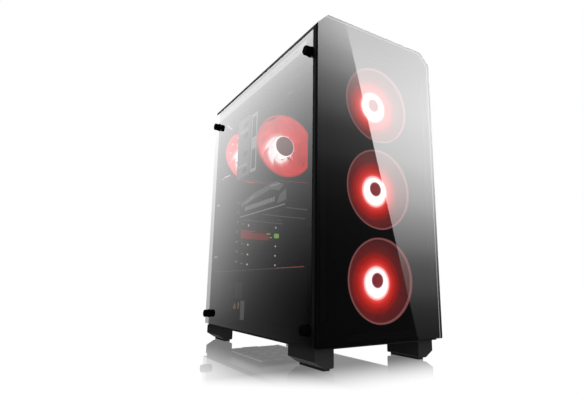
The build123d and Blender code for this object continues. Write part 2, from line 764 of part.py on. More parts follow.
def gpu_rotors():
    """The two fans under the graphics card."""
    for y, place in zip(GPU_FAN_Y, ("front", "rear")):
        with BuildPart() as wheel:
            base = Plane(origin=(GPU_FAN_X, y, GPU_LOW - 0.5), x_dir=(1, 0, 0), z_dir=(0, 0, 1))
            rotor(base, 41.0, 15.5, 10.5, 11, (11, 17), (42, 30), 15.4, 1.2)
        save(wheel.part, f"gpu_rotor_{place}")


def gpu_backplate():
    """Metal plate on top of the graphics card, with vents near its front end."""
    with BuildPart() as plate:
        slab((-47, 62), (GPU_FRONT + 2, BRACKET_Y[0] - 2), (CARD_Z + 1.6, CARD_Z + 3.0))
        slots_z([(x, -6) for x in range(-35, 60, 9)], (4, 24), (CARD_Z + 1.6, CARD_Z + 3.0))
        slab((-47, -44), (170, BRACKET_Y[0]), (CARD_Z + 1.6, CARD_Z + 3.0), Mode.SUBTRACT)
    save(plate.part, "gpu_backplate")


SMALL_CARD_Z = SLOT_Z[3] + 3.1


def expansion_card():
    """Board of the small card."""
    with BuildPart() as card:
        slab((-20, 64), (112, BRACKET_Y[0]), (SMALL_CARD_Z, SMALL_CARD_Z + 1.6))
        slab((64, 70), (118, 140), (SMALL_CARD_Z, SMALL_CARD_Z + 1.6))
        slab((18, 34), (150, 172), (SMALL_CARD_Z - 6, SMALL_CARD_Z))
    save(card.part, "expansion_card")


def expansion_heatsink():
    """Red bar clamped over the rear edge of the small card."""
    board = (SMALL_CARD_Z, SMALL_CARD_Z + 1.6)
    with BuildPart() as bar:
        slab((-44, 20), (BRACKET_Y[0] - 10, BRACKET_Y[0]), (SLOT_Z[3] - 8.5, SLOT_Z[3] + 8.5))
        slab((-20, 20), (BRACKET_Y[0] - 10, BRACKET_Y[0]), board, Mode.SUBTRACT)
    save(bar.part, "expansion_heatsink")


# ---------------------------------------------------------------------------------------------------
# Power supply, drive and cable
# ---------------------------------------------------------------------------------------------------

INLET = (40.0, 58.0)
ROCKER = (40.0, 92.0)
ROCKER_TILT = 8.0


def psu_case():
    """Steel case of the power supply: a hollow box with a guarded fan opening below."""
    wall = 1.0
    inner_x = (PSU_X[0] + wall, PSU_X[1] - wall)
    inner_y = (PSU_Y[0] + wall, PSU_Y[1] - wall)
    rear = (PSU_Y[1] - wall, PSU_Y[1])
    with BuildPart() as case:
        slab(PSU_X, PSU_Y, PSU_Z)
        slab(inner_x, inner_y, (PSU_Z[0] + wall, PSU_Z[1] - wall), Mode.SUBTRACT)
        round_z([PSU_FAN], 57, (PSU_Z[0], PSU_Z[0] + wall), Mode.SUBTRACT)
        with BuildSketch(at_z(PSU_Z[0])) as guard:
            with Locations(PSU_FAN):
                for radius in (54, 45, 36, 27, 18):
                    Circle(radius)
                    Circle(radius - 2, mode=Mode.SUBTRACT)
                Rectangle(116, 2.5)
                Rectangle(2.5, 116)
                Circle(10)
        extrude(guard.sketch, amount=wall)
        with BuildSketch(at_z(PSU_Z[0] + 27)) as spider:
            with Locations(PSU_FAN):
                Circle(21)
                Rectangle(149, 4)
            with Locations((PSU_FAN[0], (PSU_Y[0] + PSU_Y[1]) / 2)):
                Rectangle(4, PSU_Y[1] - PSU_Y[0] - 1)
        extrude(spider.sketch, amount=3)
        round_z([PSU_FAN], BEARING, (PSU_Z[0] + 27, PSU_Z[0] + 30), Mode.SUBTRACT)
        slots_y([(-70 + 7 * n, z) for n in range(13) for z in (52, 74, 96)], (4.5, 18), rear)
        slab((INLET[0] - 14, INLET[0] + 14), rear, (INLET[1] - 10.2, INLET[1] + 10.2), Mode.SUBTRACT)
        slab((ROCKER[0] - 6.7, ROCKER[0] + 6.7), rear, (ROCKER[1] - 9.7, ROCKER[1] + 9.7), Mode.SUBTRACT)
        round_y([(44, 95)], 4.6, (PSU_Y[0], PSU_Y[0] + wall), Mode.SUBTRACT)
    save(case.part, "psu_case")


def psu_rotor():
    """Fan of the power supply, above its guard."""
    with BuildPart() as wheel:
        base = Plane(origin=(*PSU_FAN, PSU_Z[0] + 3), x_dir=(1, 0, 0), z_dir=(0, 0, 1))
        rotor(base, BLADE_TIP - 1, HUB, 20, 9, (21, 31), (48, 27), 26.5, 2.0)
    save(wheel.part, "psu_rotor")


def psu_inlet():
    """Mains inlet and the bezel of the rocker switch, both black plastic."""
    x, z = INLET
    sx, sz = ROCKER
    rear = PSU_Y[1]
    with BuildPart() as inlet:
        slab((x - 13.8, x + 13.8), (rear - 24, rear), (z - 10, z + 10))
        slab((x - 16, x + 16), (rear, rear + 2), (z - 12, z + 12))
        slab((x - 12, x + 12), (rear - 18, rear + 2), (z - 8, z + 8), Mode.SUBTRACT)
        for pin_x, pin_z in ((-7, -1), (0, 3), (7, -1)):
            slab((x + pin_x - 1, x + pin_x + 1), (rear - 18, rear - 2), (z + pin_z - 2, z + pin_z + 2))
        slab((sx - 6.5, sx + 6.5), (rear - 14, rear), (sz - 9.5, sz + 9.5))
        slab((sx - 8, sx + 8), (rear, rear + 1.5), (sz - 11, sz + 11))
        slab((sx - 5, sx + 5), (rear - 10, rear + 1.5), (sz - 7.6, sz + 7.6), Mode.SUBTRACT)
        round_x([(rear - 2, sz)], 1.05, (sx - 6.2, sx + 6.2), Mode.SUBTRACT)
    save(inlet.part, "psu_inlet")


def psu_switch():
    """Rocker of the mains switch on its two pivot pins, stored in its on position."""
    x, z = ROCKER
    pivot = PSU_Y[1] - 2
    with BuildPart() as switch:
        with BuildSketch(at_x(x - 4.6)) as section:
            with Locations(Location((pivot, z), ROCKER_TILT)):
                Polygon((-3, -4.5), (4.2, -5.4), (2.6, 0), (4.2, 5.4), (-3, 4.5), align=None)
        extrude(section.sketch, amount=9.2)
        round_x([(pivot, z)], 1.0, (x - 6, x + 6))
    save(switch.part, "psu_switch")


def drive_cage():
    """Steel cage for two drives on the base pan, open to the right, with ledges under each drive."""
    x = (-68.0, 80.0)
    y = (-158.0, -47.0)
    with BuildPart() as cage:
        slab(x, y, (DECK, 112))
        slab((x[0] - 1, x[1] + 1), (y[0] + SHEET, y[1] - SHEET), (DECK + SHEET, 111), Mode.SUBTRACT)
        slots_z([(a, b) for a in (-45, -5, 35) for b in (-130, -102, -74)], (26, 12), (111, 112))
        slots_y([(a, b) for a in (-45, -5, 35) for b in (50, 90)], (26, 8), (y[0], y[1]))
        for z in (34, 72):
            slab(x, (y[0] + SHEET, DRIVE_Y[0] + 4), (z, z + SHEET))
            slab(x, (DRIVE_Y[1] - 4, y[1] - SHEET), (z, z + SHEET))
    save(cage.part, "drive_cage")


DRIVE_Y = (-153.3, -51.7)


def hard_drive():
    """3.5 inch drive, 147 x 101.6 x 26.1 mm."""
    with BuildPart() as drive:
        slab((-66, 81), DRIVE_Y, (35, 61.1), corner=2)
        round_z([(-20, -102.5)], 46, (60.3, 61.1), Mode.SUBTRACT)
        slab((74, 81), (-140, -66), (35, 40), Mode.SUBTRACT)
    save(drive.part, "hard_drive")


def cable_main():
    """Main power cable from the board's header, round behind the tray, down to the power supply."""
    plug_y = BOARD_FRONT + 7
    plug_z = 344.0
    points = [
        (48, plug_y, plug_z),
        (26, plug_y, plug_z),
        (26, -90, plug_z),
        (98, -90, plug_z),
        (98, -10, 95),
        (44, -10, 95),
        (44, PSU_Y[0] + 1, 95),
    ]
    with BuildPart() as cable:
        with BuildLine() as path:
            FilletPolyline(*points, radius=[9.5, 16, 30, 24, 24])
        with BuildSketch(Plane(origin=points[0], z_dir=(-1, 0, 0))) as section:
            Circle(4.2)
        sweep(section.sketch, path=path.line)
        slab((48, 62), (plug_y - 5, plug_y + 5), (318, 370))
    save(cable.part, "cable_main")


# ---------------------------------------------------------------------------------------------------
# Front, glass, right panel, filters and controls
# ---------------------------------------------------------------------------------------------------

BEZEL_Y = (-193.0, -190.5)


def front_glass():
    """Full-size front pane with its two chamfered top corners."""
    with BuildPart() as glass:
        gate_profile(LEFT, RIGHT, FLOOR + 3, TOP, CORNER, FRONT, GLASS)
        uprights = glass.edges().filter_by(Axis.Y)
        fillet(uprights, 2.0)
        fillet(glass.faces().sort_by(Axis.Y)[0].edges(), 0.5)
    save(glass.part, "front_glass")


def front_bezel():
    """Plastic bezel behind the front glass: plate with fan openings, short skirt, lands and snap pegs."""
    with BuildPart() as bezel:
        gate_profile(LEFT, RIGHT, FLOOR + 3, TOP, CORNER, BEZEL_Y[0], CHASSIS_FRONT - BEZEL_Y[0])
        fillet(bezel.edges().filter_by(Axis.Y), 2.0)
        with BuildSketch(at_y(BEZEL_Y[1])) as hollow:
            with BuildLine():
                low, high, cut = FLOOR + 5.5, TOP - 2.5, CORNER - 1.0
                Polyline(
                    (LEFT + 2.5, low),
                    (RIGHT - 2.5, low),
                    (RIGHT - 2.5, high - cut),
                    (RIGHT - 2.5 - cut, high),
                    (LEFT + 2.5 + cut, high),
                    (LEFT + 2.5, high - cut),
                    close=True,
                )
            make_face()
        extrude(hollow.sketch, amount=BEZEL_Y[1] - CHASSIS_FRONT, mode=Mode.SUBTRACT)
        for z in FRONT_FAN_Z:
            round_y([(BODY_X, z)], 57.8, BEZEL_Y, Mode.SUBTRACT)
        for x in (LEFT + 8, RIGHT - 16):
            slab((x, x + 8), (FRONT + GLASS, BEZEL_Y[0]), (60, 440))
        slab((BODY_X - 60, BODY_X + 60), (FRONT + GLASS, BEZEL_Y[0]), (440, 448))
        slab((BODY_X - 60, BODY_X + 60), (FRONT + GLASS, BEZEL_Y[0]), (34, 42))
        round_y(PEGS, 3.0, (BEZEL_Y[1], FAN_WALL + 6))
        round_y(PEGS, 5.0, (BEZEL_Y[1], CHASSIS_FRONT + 6))
    save(bezel.part, "front_bezel")


def ring_trims():
    """Bright rings round the three fan openings."""
    with BuildPart() as rings:
        for z in FRONT_FAN_Z:
            centre = [(BODY_X, z)]
            round_y(centre, 57.5, BEZEL_Y)
            round_y(centre, 60.0, (BEZEL_Y[1], FAN_WALL - FAN_T))
            round_y(centre, 55.4, (BEZEL_Y[0], FAN_WALL - FAN_T), Mode.SUBTRACT)
    save(rings.part, "ring_trims")


def left_glass():
    """Tempered side pane with a hole for each thumbscrew."""
    with BuildPart() as glass:
        slab((LEFT, LEFT + GLASS), (CHASSIS_FRONT + 1, REAR + 3), (FLOOR + 4, SHOULDER - 4.8))
        fillet(glass.edges().filter_by(Axis.X), 2.0)
        round_x(corners(SCREW_Y, SCREW_Z), 3.6, (LEFT, LEFT + GLASS), Mode.SUBTRACT)
        fillet(glass.faces().sort_by(Axis.X)[0].outer_wire().edges(), 0.5)
    save(glass.part, "left_glass")


def thumbscrews():
    """Four knurled thumbscrews with a collar and a plain shaft, each its own piece."""
    for y, row in zip(SCREW_Y, ("front", "rear")):
        for z, level in zip(SCREW_Z, ("low", "high")):
            with BuildPart() as screw:
                round_x([(y, z)], 6.75, (LEFT - 10, LEFT - 1.2))
                chamfer(screw.edges().filter_by(GeomType.CIRCLE).sort_by(Axis.X)[0], 1.0)
                grooves = [
                    (y + 6.95 * cos(radians(angle)), z + 6.95 * sin(radians(angle)))
                    for angle in range(0, 360, 15)
                ]
                round_x(grooves, 0.6, (LEFT - 8.6, LEFT - 1.2), Mode.SUBTRACT)
                round_x([(y, z)], 7.5, (LEFT - 1.2, LEFT))
                round_x([(y, z)], 3.0, (LEFT, INSIDE_X + NUT - 0.5))
            save(screw.part, f"thumbscrew_{row}_{level}")


def right_panel():
    """Steel side panel with hooks behind the chassis flanges and a folded rear edge."""
    with BuildPart() as panel:
        slab((RIGHT - 1, RIGHT), (CHASSIS_FRONT + 0.5, REAR + 1), (FLOOR + 4, SHOULDER - 4.3))
        slab((96, RIGHT - 1), (REAR, REAR + 1), (FLOOR + 8, SHOULDER - 8))
        for y in HOOK_Y:
            for z in (DECK + 12, HOOK_TOP_Z):
                slab((FLANGE_X - 1.6, RIGHT - 1), (y - 3, y + 3), (z - 1, z + 1))
                slab((FLANGE_X - 1.6, FLANGE_X - 0.5), (y - 12, y + 3), (z - 1, z + 1))
        round_y([(102, z) for z in (60, 420)], 1.85, (REAR, REAR + 1), Mode.SUBTRACT)
    save(panel.part, "right_panel")


def panel_screws():
    """Two thumbscrews that hold the right panel from behind."""
    with BuildPart() as screws:
        places = [(102, z) for z in (60, 420)]
        round_y(places, 5.8, (REAR + 1, REAR + 10))
        round_y(places, 1.75, (REAR - 6, REAR + 1))
    save(screws.part, "panel_screws")


POWER = (BODY_X - 24, -159.0)
RESET = (BODY_X - 9, -159.0)


def top_io_module():
    """Control strip in the roof: button wells, two wide sockets and two round ones."""
    top = ROOF_TOP + 0.8
    with BuildPart() as module:
        slab((BODY_X - 35.7, BODY_X + 35.7), (-171.7, -146.3), (458, ROOF_TOP))
        slab((BODY_X - 38, BODY_X + 38), (-174, -144), (ROOF_TOP, top))
        round_z([POWER], 7.4, (461, top), Mode.SUBTRACT)
        round_z([RESET], 3.4, (461, top), Mode.SUBTRACT)
        for x in (BODY_X + 5, BODY_X + 17):
            slab((x - 3, x + 3), (-166, -152), (462, top), Mode.SUBTRACT)
            slab((x - 2, x - 0.4), (-165, -153), (462, top - 2))
        round_z([(BODY_X + 29, -165), (BODY_X + 29, -153)], 1.9, (462, top), Mode.SUBTRACT)
    save(module.part, "top_io_module")


def buttons():
    """Power and reset buttons, standing a little proud of the control strip."""
    for place, radius, name in ((POWER, 7.1, "power_button"), (RESET, 3.1, "reset_button")):
        with BuildPart() as button:
            round_z([place], radius, (464, TOP - 0.1))
            chamfer(button.edges().filter_by(GeomType.CIRCLE).sort_by(Axis.Z)[-1], 0.4)
        save(button.part, name)


def filter_sheet(x, y, z, columns, rows, rim):
    """Filter frame with a grid of windows between its bars."""
    slab(x, y, z, corner=3)
    bar = 2.5
    wide = (x[1] - x[0] - 2 * rim - bar * (columns - 1)) / columns
    deep = (y[1] - y[0] - 2 * rim - bar * (rows - 1)) / rows
    for column in range(columns):
        for row in range(rows):
            left = x[0] + rim + column * (wide + bar)
            front = y[0] + rim + row * (deep + bar)
            slab((left, left + wide), (front, front + deep), z, Mode.SUBTRACT)


def filters():
    """Magnetic roof filter and the filter that slides out below the power supply."""
    with BuildPart() as top:
        filter_sheet((BODY_X - 87, BODY_X + 87), (-100, 160), (ROOF_TOP, TOP), 4, 6, 8)
    save(top.part, "top_filter")
    with BuildPart() as bottom:
        x = (PSU_FAN[0] - FILTER_RAIL + 1.4, PSU_FAN[0] + FILTER_RAIL - 1.4)
        filter_sheet(x, (24, 190), (FLOOR - 5.1, FLOOR - 0.6), 4, 5, 7)
        slab((PSU_FAN[0] - 16, PSU_FAN[0] + 16), (189, 195), (FLOOR - 5.1, FLOOR - 2))
    save(bottom.part, "bottom_filter")


base_pan()
rear_panel()
roof_panel()
left_frame()
motherboard_tray()
front_wall()
psu_shroud()
feet()
foot_pads()
glass_standoffs()
front_fan_frames()
front_rotors()
rear_fan()
cooler_fan()
motherboard()
board_standoffs()
io_shield()
rear_ports()
cpu_socket()
cooler_base()
cooler_fins()
board_sockets()
ram_modules()
board_heatsinks()
slot_covers()
card_brackets()
gpu_board()
gpu_heatsink()
gpu_shroud()
gpu_rotors()
gpu_backplate()
expansion_card()
expansion_heatsink()
psu_case()
psu_rotor()
psu_inlet()
psu_switch()
drive_cage()
hard_drive()
cable_main()
front_glass()
front_bezel()
ring_trims()
left_glass()
thumbscrews()
right_panel()
panel_screws()
top_io_module()
buttons()
filters()
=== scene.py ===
import json
import math

import bmesh
import bpy
from mathutils import Matrix, Vector


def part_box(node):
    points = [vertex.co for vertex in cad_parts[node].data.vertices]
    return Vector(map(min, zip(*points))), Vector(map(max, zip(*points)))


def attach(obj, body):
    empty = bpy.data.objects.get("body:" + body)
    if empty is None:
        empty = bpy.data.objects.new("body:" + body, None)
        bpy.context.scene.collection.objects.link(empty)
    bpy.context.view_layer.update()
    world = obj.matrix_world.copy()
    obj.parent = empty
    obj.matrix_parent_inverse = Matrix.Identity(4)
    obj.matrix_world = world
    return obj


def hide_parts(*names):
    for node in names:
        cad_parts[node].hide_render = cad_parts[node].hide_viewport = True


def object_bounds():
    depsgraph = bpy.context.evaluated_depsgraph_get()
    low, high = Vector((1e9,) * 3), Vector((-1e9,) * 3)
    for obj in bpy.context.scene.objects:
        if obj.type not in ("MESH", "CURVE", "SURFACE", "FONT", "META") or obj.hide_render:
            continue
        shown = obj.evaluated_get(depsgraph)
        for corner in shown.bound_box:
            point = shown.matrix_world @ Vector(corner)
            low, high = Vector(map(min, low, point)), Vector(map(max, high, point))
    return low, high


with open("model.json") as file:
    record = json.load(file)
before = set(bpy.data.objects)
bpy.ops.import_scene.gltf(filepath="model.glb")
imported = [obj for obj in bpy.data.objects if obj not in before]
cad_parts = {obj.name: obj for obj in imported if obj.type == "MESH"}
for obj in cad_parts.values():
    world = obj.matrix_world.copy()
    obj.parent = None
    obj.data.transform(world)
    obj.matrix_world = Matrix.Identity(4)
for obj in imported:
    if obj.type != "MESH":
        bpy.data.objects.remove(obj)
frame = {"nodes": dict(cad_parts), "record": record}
nodes = frame["nodes"]
LOW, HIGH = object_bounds()


def mm(*values):
    """Millimetres to metres."""
    return tuple(value / 1000 for value in values)


# --------------------------------------------------
# Camera, light and stage
# --------------------------------------------------

GLASS_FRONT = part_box("front_glass")
GLASS_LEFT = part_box("left_glass")
FRONT_Y = GLASS_FRONT[0].y
LEFT_X = GLASS_LEFT[0].x
MIDDLE_X = (GLASS_FRONT[0].x + GLASS_FRONT[1].x) / 2
GLASS_FOOT = GLASS_FRONT[0].z

CAMERA_FROM_GLASS = Vector(mm(-395.6, -436.0, 74.8))
CAMERA_AT = Vector((MIDDLE_X, FRONT_Y, GLASS_FOOT)) + CAMERA_FROM_GLASS
CAMERA_YAW = math.radians(32.90)
CAMERA_PITCH = math.radians(11.89)
CAMERA_ROLL = math.radians(0.39)
CAMERA_SENSOR = 36.0
CAMERA_LENS = 26.16
CAMERA_SHIFT = (-0.0375, -0.0088)


def make_camera():
    """Low camera, left of the front corner, looking up a little."""
    data = bpy.data.cameras.new("camera")
    data.sensor_width = CAMERA_SENSOR
    data.lens = CAMERA_LENS
    data.shift_x, data.shift_y = CAMERA_SHIFT
    data.clip_start = 0.01
    data.clip_end = 60
    camera = bpy.data.objects.new("camera", data)
    forward = Vector((
        math.sin(CAMERA_YAW) * math.cos(CAMERA_PITCH),
        math.cos(CAMERA_YAW) * math.cos(CAMERA_PITCH),
        math.sin(CAMERA_PITCH),
    ))
    level = Vector((math.cos(CAMERA_YAW), -math.sin(CAMERA_YAW), 0))
    above = level.cross(forward)
    right = level * math.cos(CAMERA_ROLL) + above * math.sin(CAMERA_ROLL)
    up = above * math.cos(CAMERA_ROLL) - level * math.sin(CAMERA_ROLL)
    turn = Matrix((right, up, -forward)).transposed().to_4x4()
    camera.matrix_world = Matrix.Translation(CAMERA_AT) @ turn
    bpy.context.scene.collection.objects.link(camera)
    bpy.context.scene.camera = camera


def new_object(name, mesh):
    """Link a new mesh object."""
    obj = bpy.data.objects.new(name, mesh)
    bpy.context.scene.collection.objects.link(obj)
    return obj


def node_tree(material):
    """Empty node tree of a material, with its output node."""
    material.use_nodes = True
    tree = material.node_tree
    tree.nodes.clear()
    return tree, tree.nodes.new("ShaderNodeOutputMaterial")


def add(tree, kind, **inputs):
    """New node with some of its inputs set by name."""
    node = tree.nodes.new(kind)
    for key, value in inputs.items():
        node.inputs[key.replace("_", " ")].default_value = value
    return node


def link(tree, start, end):
    """Join an output socket to an input socket."""
    tree.links.new(start, end)


def math_node(tree, operation, first, second=None, clamp=False):
    """Math node whose inputs are sockets or numbers; returns its output."""
    node = tree.nodes.new("ShaderNodeMath")
    node.operation = operation
    node.use_clamp = clamp
    for number, value in enumerate((first, second)):
        if value is None:
            continue
        if isinstance(value, (int, float)):
            node.inputs[number].default_value = value
        else:
            link(tree, value, node.inputs[number])
    return node.outputs[0]


def times(tree, first, second):
    """Product of two sockets or numbers."""
    return math_node(tree, "MULTIPLY", first, second)


def plus(tree, first, second):
    """Sum of two sockets or numbers."""
    return math_node(tree, "ADD", first, second)


def minus(tree, first, second):
    """First socket or number less the second."""
    return math_node(tree, "SUBTRACT", first, second)


def larger(tree, first, second):
    """Larger of two sockets or numbers."""
    return math_node(tree, "MAXIMUM", first, second)


def coordinates(tree, kind):
    """Texture coordinates of one kind, and the same split into X, Y and Z."""
    place = tree.nodes.new("ShaderNodeTexCoord")
    split = tree.nodes.new("ShaderNodeSeparateXYZ")
    link(tree, place.outputs[kind], split.inputs[0])
    return place, split


def ramp_between(tree, value, start, end):
    """Smooth step of a socket between two values; returns its output."""
    node = tree.nodes.new("ShaderNodeMapRange")
    node.interpolation_type = "SMOOTHSTEP"
    node.inputs["From Min"].default_value = start
    node.inputs["From Max"].default_value = end
    link(tree, value, node.inputs["Value"])
    return node.outputs["Result"]


# The panes mirror this much more than real glass and their cards are dimmer by as much: less grain
MIRROR_GAIN = 3.0


def make_world():
    """White surround, darker where the two panes look back at it, so that the cards alone show in them."""
    world = bpy.data.worlds.new("studio")
    bpy.context.scene.world = world
    world.use_nodes = True
    tree = world.node_tree
    tree.nodes.clear()
    output = tree.nodes.new("ShaderNodeOutputWorld")
    background = tree.nodes.new("ShaderNodeBackground")
    background.inputs["Color"].default_value = (1, 1, 1, 1)
    place, split = coordinates(tree, "Generated")
    x, y, z = split.outputs["X"], split.outputs["Y"], split.outputs["Z"]
    ahead = ramp_between(tree, x, 0.0, 0.08)
    behind = ramp_between(tree, y, -0.15, 0.0)
    mirrored = times(tree, ahead, behind)
    mirrored = plus(tree, times(tree, mirrored, 0.98), 0.02)
    above = times(tree, ramp_between(tree, z, -0.2, 0.6), 0.45)
    facing = times(tree, ramp_between(tree, y, 0.2, -0.7), 0.50)
    soft = plus(tree, plus(tree, above, facing), 0.05)
    path = tree.nodes.new("ShaderNodeLightPath")
    plain = larger(tree, path.outputs["Is Camera Ray"], path.outputs["Is Transmission Ray"])
    level = tree.nodes.new("ShaderNodeMix")
    link(tree, path.outputs["Is Diffuse Ray"], level.inputs["Factor"])
    link(tree, mirrored, level.inputs["A"])
    link(tree, soft, level.inputs["B"])
    link(tree, larger(tree, level.outputs["Result"], plain), background.inputs["Strength"])
    link(tree, background.outputs[0], output.inputs["Surface"])


def quad(name, corners):
    """One-face mesh through four corners."""
    mesh = bpy.data.meshes.new(name)
    mesh.from_pydata([tuple(corner) for corner in corners], [], [(0, 1, 2, 3)])
    return new_object(name, mesh)


def outside_distance(tree, value, low, high):
    """How far a coordinate lies outside a span."""
    before = minus(tree, low, value)
    after = minus(tree, value, high)
    return larger(tree, larger(tree, before, after), 0.0)


# The floor mirrors fully up to MIRROR_NEAR from the tower and not at all past MIRROR_FAR, in metres
MIRROR_NEAR = -0.005
MIRROR_FAR = 0.186
MIRROR_SHARE = 0.83
FLOOR_SIDE = 8.0
FLOOR_WHITE = 1.02


def make_floor():
    """Large white floor, mirror-like close to the tower and plain further out."""
    side = FLOOR_SIDE
    corners = [(-side, -side, LOW.z), (side, -side, LOW.z), (side, side, LOW.z), (-side, side, LOW.z)]
    floor = quad("floor", corners)
    material = bpy.data.materials.new("floor_white")
    tree, output = node_tree(material)
    white = tree.nodes.new("ShaderNodeEmission")
    white.inputs["Strength"].default_value = FLOOR_WHITE
    place, split = coordinates(tree, "Object")
    x = outside_distance(tree, split.outputs["X"], GLASS_FRONT[0].x, GLASS_FRONT[1].x)
    y = outside_distance(tree, split.outputs["Y"], FRONT_Y + 0.048, HIGH.y)
    away = plus(tree, x, times(tree, y, 1.3))
    near = minus(tree, 1.0, ramp_between(tree, away, MIRROR_NEAR, MIRROR_FAR))
    gloss = add(tree, "ShaderNodeBsdfAnisotropic", Roughness=0.03)
    mix = tree.nodes.new("ShaderNodeMixShader")
    link(tree, times(tree, near, MIRROR_SHARE), mix.inputs["Fac"])
    link(tree, white.outputs[0], mix.inputs[1])
    link(tree, gloss.outputs[0], mix.inputs[2])
    gloss.inputs["Color"].default_value = (1, 1, 1, 1)
    link(tree, mix.outputs[0], output.inputs["Surface"])
    floor.data.materials.append(material)
    floor.visible_glossy = False
    floor.visible_diffuse = False



def glow_card(name, corners, build):
    """Card that only shows in reflections; build adds its brightness from object coordinates."""
    card = quad(name, corners)
    material = bpy.data.materials.new(name)
    tree, output = node_tree(material)
    glow = tree.nodes.new("ShaderNodeEmission")
    place, split = coordinates(tree, "Object")
    link(tree, build(tree, split.outputs), glow.inputs["Strength"])
    link(tree, glow.outputs[0], output.inputs["Surface"])
    card.data.materials.append(material)
    card.visible_camera = False
    card.visible_diffuse = False
    card.visible_transmission = False
    card.visible_shadow = False


FRONT_CARD = 1.5        # distance of the front card from the front glass
SIDE_CARD = 1.1         # distance of the side card from the side glass


def back_on_glass(tree, value, eye, scale):
    """Coordinate on the pane whose reflection shows this coordinate of the card."""
    return plus(tree, math_node(tree, "DIVIDE", minus(tree, value, eye), scale), eye)


def profile(tree, value, reach, stops):
    """Piecewise smooth curve of a socket from 0 to reach, given as (place, level) pairs."""
    ramp = tree.nodes.new("ShaderNodeValToRGB")
    ramp.color_ramp.interpolation = "CARDINAL"
    elements = ramp.color_ramp.elements
    while len(elements) < len(stops):
        elements.new(0.5)
    for element, (place, level) in zip(elements, stops):
        element.position = place / reach
        element.color = (level, level, level, 1)
    link(tree, math_node(tree, "DIVIDE", value, reach, clamp=True), ramp.inputs["Fac"])
    return ramp.outputs["Color"]


RIGHT_FADE = ((0.0, 0.012), (0.06, 0.045), (0.12, 0.13), (0.18, 0.33), (0.24, 0.52), (0.30, 0.62),
              (0.36, 0.63), (0.45, 0.52))
LEFT_FADE = ((0.0, 0.002), (0.18, 0.006), (0.24, 0.022), (0.30, 0.065), (0.36, 0.19),
             (0.40, 0.34), (0.45, 0.50))


# Slanting edge of the front reflection, on the pane: across the pane at its foot, and how far it leans
EDGE_FOOT = 0.0596
EDGE_SLOPE = 0.2720


def front_card():
    """Softbox in front: bright right of a straight slanting edge, fading downwards."""
    eye = Vector((CAMERA_AT.x, 2 * FRONT_Y - CAMERA_AT.y, CAMERA_AT.z))
    scale = (eye.y - (FRONT_Y - FRONT_CARD)) / (eye.y - FRONT_Y)

    def build(tree, split):
        x = minus(tree, back_on_glass(tree, split["X"], eye.x, scale), MIDDLE_X)
        z = minus(tree, back_on_glass(tree, split["Z"], eye.z, scale), GLASS_FOOT)
        edge = minus(tree, times(tree, z, -EDGE_SLOPE), -EDGE_FOOT)
        side = ramp_between(tree, minus(tree, x, edge), -0.0006, 0.0006)
        right = profile(tree, z, 0.45, RIGHT_FADE)
        spread = plus(tree, times(tree, x, 4.0), 1.25)
        left = times(tree, profile(tree, z, 0.45, LEFT_FADE), spread)
        mixed = plus(tree, times(tree, right, side),
                          times(tree, left, minus(tree, 1.0, side)))
        return times(tree, mixed, 1 / 0.0425 / MIRROR_GAIN)

    y = FRONT_Y - FRONT_CARD
    left, right = MIDDLE_X + 0.3, MIDDLE_X + 2.1
    glow_card("front_softbox", [(left, y, -0.4), (right, y, -0.4), (right, y, 2.2), (left, y, 2.2)], build)



# Brightness of the side reflection at the front of the pane, and its gain per metre to the rear
SIDE_LEVEL = 0.45
SIDE_GAIN = 0.62


def side_card():
    """Softbox on the left: brightest at the rear top, fading to the front foot of the pane."""
    eye = Vector((2 * LEFT_X - CAMERA_AT.x, CAMERA_AT.y, CAMERA_AT.z))
    scale = (eye.x - (LEFT_X - SIDE_CARD)) / (eye.x - LEFT_X)

    def build(tree, split):
        y = minus(tree, back_on_glass(tree, split["Y"], eye.y, scale), FRONT_Y)
        z = minus(tree, back_on_glass(tree, split["Z"], eye.z, scale), GLASS_FOOT)
        back = larger(tree, minus(tree, 1.0, math_node(tree, "DIVIDE", y, 0.36)), 0.0)
        steep = plus(tree, times(tree, math_node(tree, "POWER", back, 1.4), 1.75), 0.8)
        height = larger(tree, math_node(tree, "DIVIDE", z, 0.418), 0.02)
        top = plus(tree, times(tree, y, SIDE_GAIN), SIDE_LEVEL)
        level = times(tree, math_node(tree, "POWER", height, steep), top)
        foot = larger(tree, minus(tree, 1.0, times(tree, z, 8.0)), 0.0)
        foot = times(tree, times(tree, foot, y), 0.15)
        level = plus(tree, level, larger(tree, foot, 0.0))
        mirror = plus(tree, times(tree, y, 0.29), 0.058)
        return math_node(tree, "DIVIDE", level, times(tree, mirror, MIRROR_GAIN))

    x = LEFT_X - SIDE_CARD
    glow_card("side_softbox", [(x, 0.9, -0.6), (x, 4.2, -0.6), (x, 4.2, 2.6), (x, 0.9, 2.6)], build)


make_camera()
make_world()
make_floor()
front_card()
side_card()
bpy.context.scene.view_settings.view_transform = "Standard"


# --------------------------------------------------
# Materials
# --------------------------------------------------


